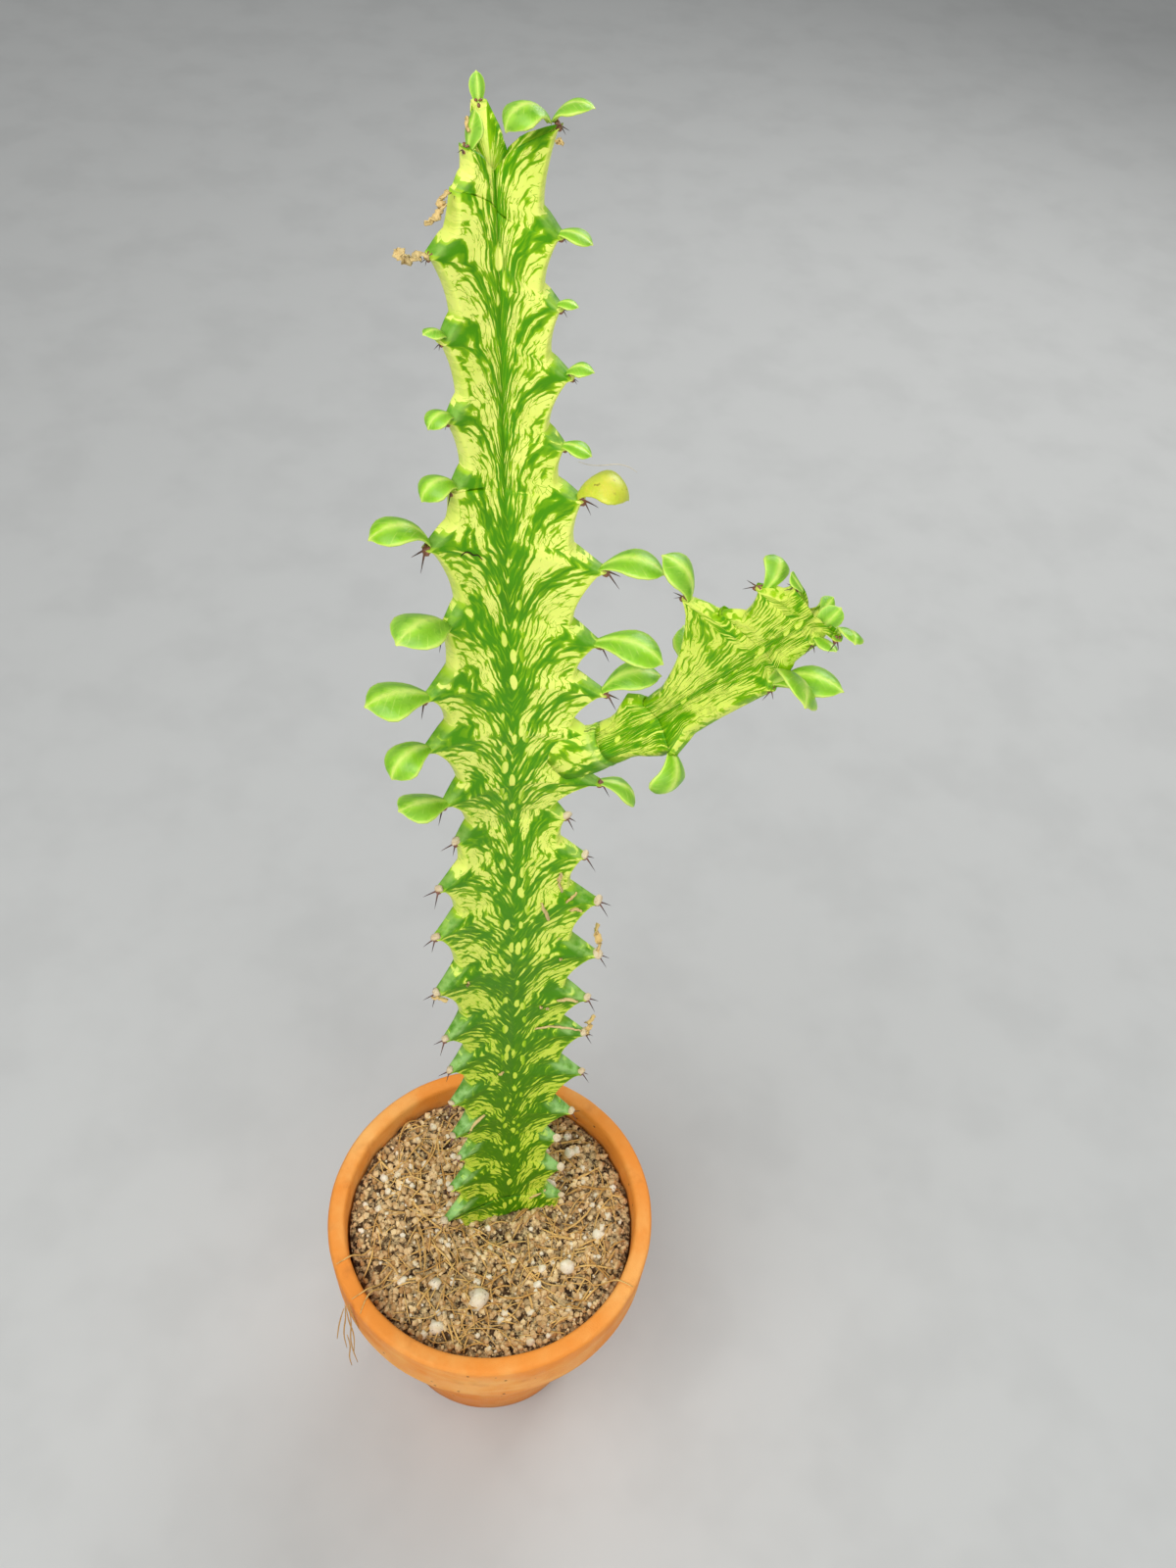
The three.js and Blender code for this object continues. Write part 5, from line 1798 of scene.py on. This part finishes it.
class DRAGON_OT_pot(bpy.types.Operator):
    """Turn the clay pot with its collar"""

    bl_idname = "dragon.pot"
    bl_label = "Clay Pot"

    def execute(self, context):
        pot = context.scene.dragon_pot
        collar_foot = pot.height - pot.collar_height
        lip = pot.lip_round
        top = pot.height - lip
        chamfer = FOOT_CHAMFER * MM
        profile = [(pot.foot_radius - chamfer, 0.0), (pot.foot_radius, chamfer)]
        for share in (0.12, 0.25, 0.38, 0.5, 0.62, 0.75, 0.88, 1):
            radius = blend(pot.foot_radius, pot.body_top_radius, share)
            profile.append((radius, blend(chamfer, collar_foot, share)))
        profile.append((pot.collar_foot_radius - lip, collar_foot))
        for turn in (22, 45, 68, 90):
            angle = math.radians(turn)
            radius = pot.collar_foot_radius - lip + lip * math.sin(angle)
            profile.append((radius, collar_foot + lip * (1 - math.cos(angle))))
        for share in (0.25, 0.5, 0.75, 1):
            radius = blend(pot.collar_foot_radius, pot.rim_radius, share)
            profile.append((radius, blend(collar_foot + lip, top, share)))
        for turn in (25, 50, 70, 90):
            angle = math.radians(turn)
            radius = pot.rim_radius - lip + lip * math.cos(angle)
            profile.append((radius, top + lip * math.sin(angle)))
        inner = pot.rim_radius - pot.rim_wall
        for turn in (90, 65, 40, 0):
            angle = math.radians(turn)
            profile.append((inner + lip - lip * math.cos(angle), top + lip * math.sin(angle)))
        profile += [
            (pot.collar_foot_radius - pot.rim_wall, collar_foot),
            (pot.body_top_radius - pot.body_wall, collar_foot - pot.body_wall),
            (pot.foot_radius - pot.body_wall, pot.floor),
        ]
        thing = turn_profile("clay_pot", profile, 128)

        # Drain holes, and the slight unevenness of a hand-finished pot
        deselect_all()
        drains = []
        for i in range(DRAIN_COUNT):
            angle = 2 * math.pi * i / DRAIN_COUNT
            place = (DRAIN_CIRCLE * MM * math.cos(angle), DRAIN_CIRCLE * MM * math.sin(angle), 0)
            bpy.ops.mesh.primitive_cylinder_add(
                vertices=28, radius=DRAIN_RADIUS * MM, depth=40 * MM, location=place
            )
            drains.append(context.object)
        for drain in drains:
            only(thing)
            cut = thing.modifiers.new("drain", "BOOLEAN")
            cut.object = drain
            cut.solver = "EXACT"
            bpy.ops.object.modifier_apply(modifier=cut.name)
            bpy.data.objects.remove(drain, do_unlink=True)
        for vertex in thing.data.vertices:
            x, y, z = vertex.co / MM
            radius = math.hypot(x, y)
            if radius > UNEVEN_FROM:
                angle = math.atan2(y, x)
                sway = 0.12 * math.sin(2 * angle + 0.6) + 0.07 * math.sin(5 * angle + z / 20)
                dent = 0.1 * noise.noise(Vector((x, y, z)) / 9)
                share = 1 + (sway - 0.19 + dent) / radius
                vertex.co.x *= share
                vertex.co.y *= share
        only(thing)
        bpy.ops.object.shade_smooth_by_angle(angle=math.radians(40))
        thing.data.materials.clear()
        thing.data.materials.append(clay_material())
        finish_piece(thing, "terracotta", "terracotta_pot")
        return {"FINISHED"}


class DRAGON_OT_stage(bpy.types.Operator):
    """Set the pale floor, the soft lights and the camera"""

    bl_idname = "dragon.stage"
    bl_label = "Stage"

    def execute(self, context):
        settings = context.scene.dragon_stage
        deselect_all()
        bpy.ops.mesh.primitive_circle_add(vertices=96, radius=3, fill_type="NGON", location=(0, 0, 0))
        floor = context.object
        floor.name = "pale_floor"
        floor.data.transform(Matrix.Translation((0, 0, -0.0003)))
        floor.data.materials.append(floor_material())

        world = bpy.data.worlds.new("soft_room")
        world.use_nodes = True
        background = world.node_tree.nodes["Background"]
        background.inputs["Color"].default_value = (*settings.sky, 1)
        background.inputs["Strength"].default_value = 0.36
        context.scene.world = world

        lights = (
            ("key", settings.key_power, 0.9, (-0.4, -0.5, 1.15), (0, 0, 0.25)),
            ("fill", settings.fill_power, 0.8, (0.45, -1.0, 0.6), (0, 0, 0.28)),
            ("back", 5.0, 0.6, (0.5, 0.8, 0.8), (0, 0, 0.3)),
        )
        for name, power, size, place, aim in lights:
            lamp = bpy.data.lights.new(name, "AREA")
            lamp.energy = power
            lamp.size = size
            light = bpy.data.objects.new(name, lamp)
            context.scene.collection.objects.link(light)
            light.location = place
            light.rotation_euler = (Vector(aim) - Vector(place)).to_track_quat("-Z", "Y").to_euler()

        right, up, ahead = (Vector(axis) for axis in camera_axes())
        lens = bpy.data.cameras.new("camera")
        lens.lens = CAMERA_LENS
        lens.sensor_fit = "AUTO"
        lens.clip_start = 0.01
        lens.clip_end = 20
        camera = bpy.data.objects.new("camera", lens)
        context.scene.collection.objects.link(camera)
        turn = Matrix((right, up, -ahead)).transposed().to_4x4()
        camera.matrix_world = Matrix.Translation(Vector(CAMERA_PLACE) * MM) @ turn
        context.scene.camera = camera
        context.scene.view_settings.view_transform = "Standard"
        return {"FINISHED"}


class DRAGON_PT_panel(bpy.types.Panel):
    """Pieces of the potted plant"""

    bl_idname = "DRAGON_PT_panel"
    bl_label = "Potted Dragon Bones"
    bl_space_type = "VIEW_3D"
    bl_region_type = "UI"
    bl_category = "Plant"

    def draw(self, context):
        layout = self.layout
        for operator in OPERATORS:
            layout.operator(operator.bl_idname)
        for name in SETTINGS:
            box = layout.box()
            group = getattr(context.scene, name)
            for part in group.__annotations__:
                box.prop(group, part)


SETTINGS = {
    "dragon_skin": SkinSettings,
    "dragon_leaves": LeafSettings,
    "dragon_spines": SpineSettings,
    "dragon_soil": SoilSettings,
    "dragon_pot": PotSettings,
    "dragon_stage": StageSettings,
}
OPERATORS = (
    DRAGON_OT_stage,
    DRAGON_OT_pot,
    DRAGON_OT_soil,
    DRAGON_OT_grit,
    DRAGON_OT_fibres,
    DRAGON_OT_main_stem,
    DRAGON_OT_side_branch,
    DRAGON_OT_growth,
    DRAGON_OT_dry_leaves,
)


def register():
    for group in (*SETTINGS.values(), *OPERATORS, DRAGON_PT_panel):
        bpy.utils.register_class(group)
    for name, group in SETTINGS.items():
        setattr(bpy.types.Scene, name, PointerProperty(type=group))


def unregister():
    for name in SETTINGS:
        delattr(bpy.types.Scene, name)
    for group in reversed((*SETTINGS.values(), *OPERATORS, DRAGON_PT_panel)):
        bpy.utils.unregister_class(group)


def main():
    register()
    bpy.ops.dragon.stage()
    bpy.ops.dragon.pot()
    bpy.ops.dragon.soil()
    bpy.ops.dragon.grit()
    bpy.ops.dragon.fibres()
    bpy.ops.dragon.main_stem()
    bpy.ops.dragon.side_branch()
    bpy.ops.dragon.growth()
    bpy.ops.dragon.dry_leaves()
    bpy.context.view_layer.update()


if __name__ == "__main__":
    main()
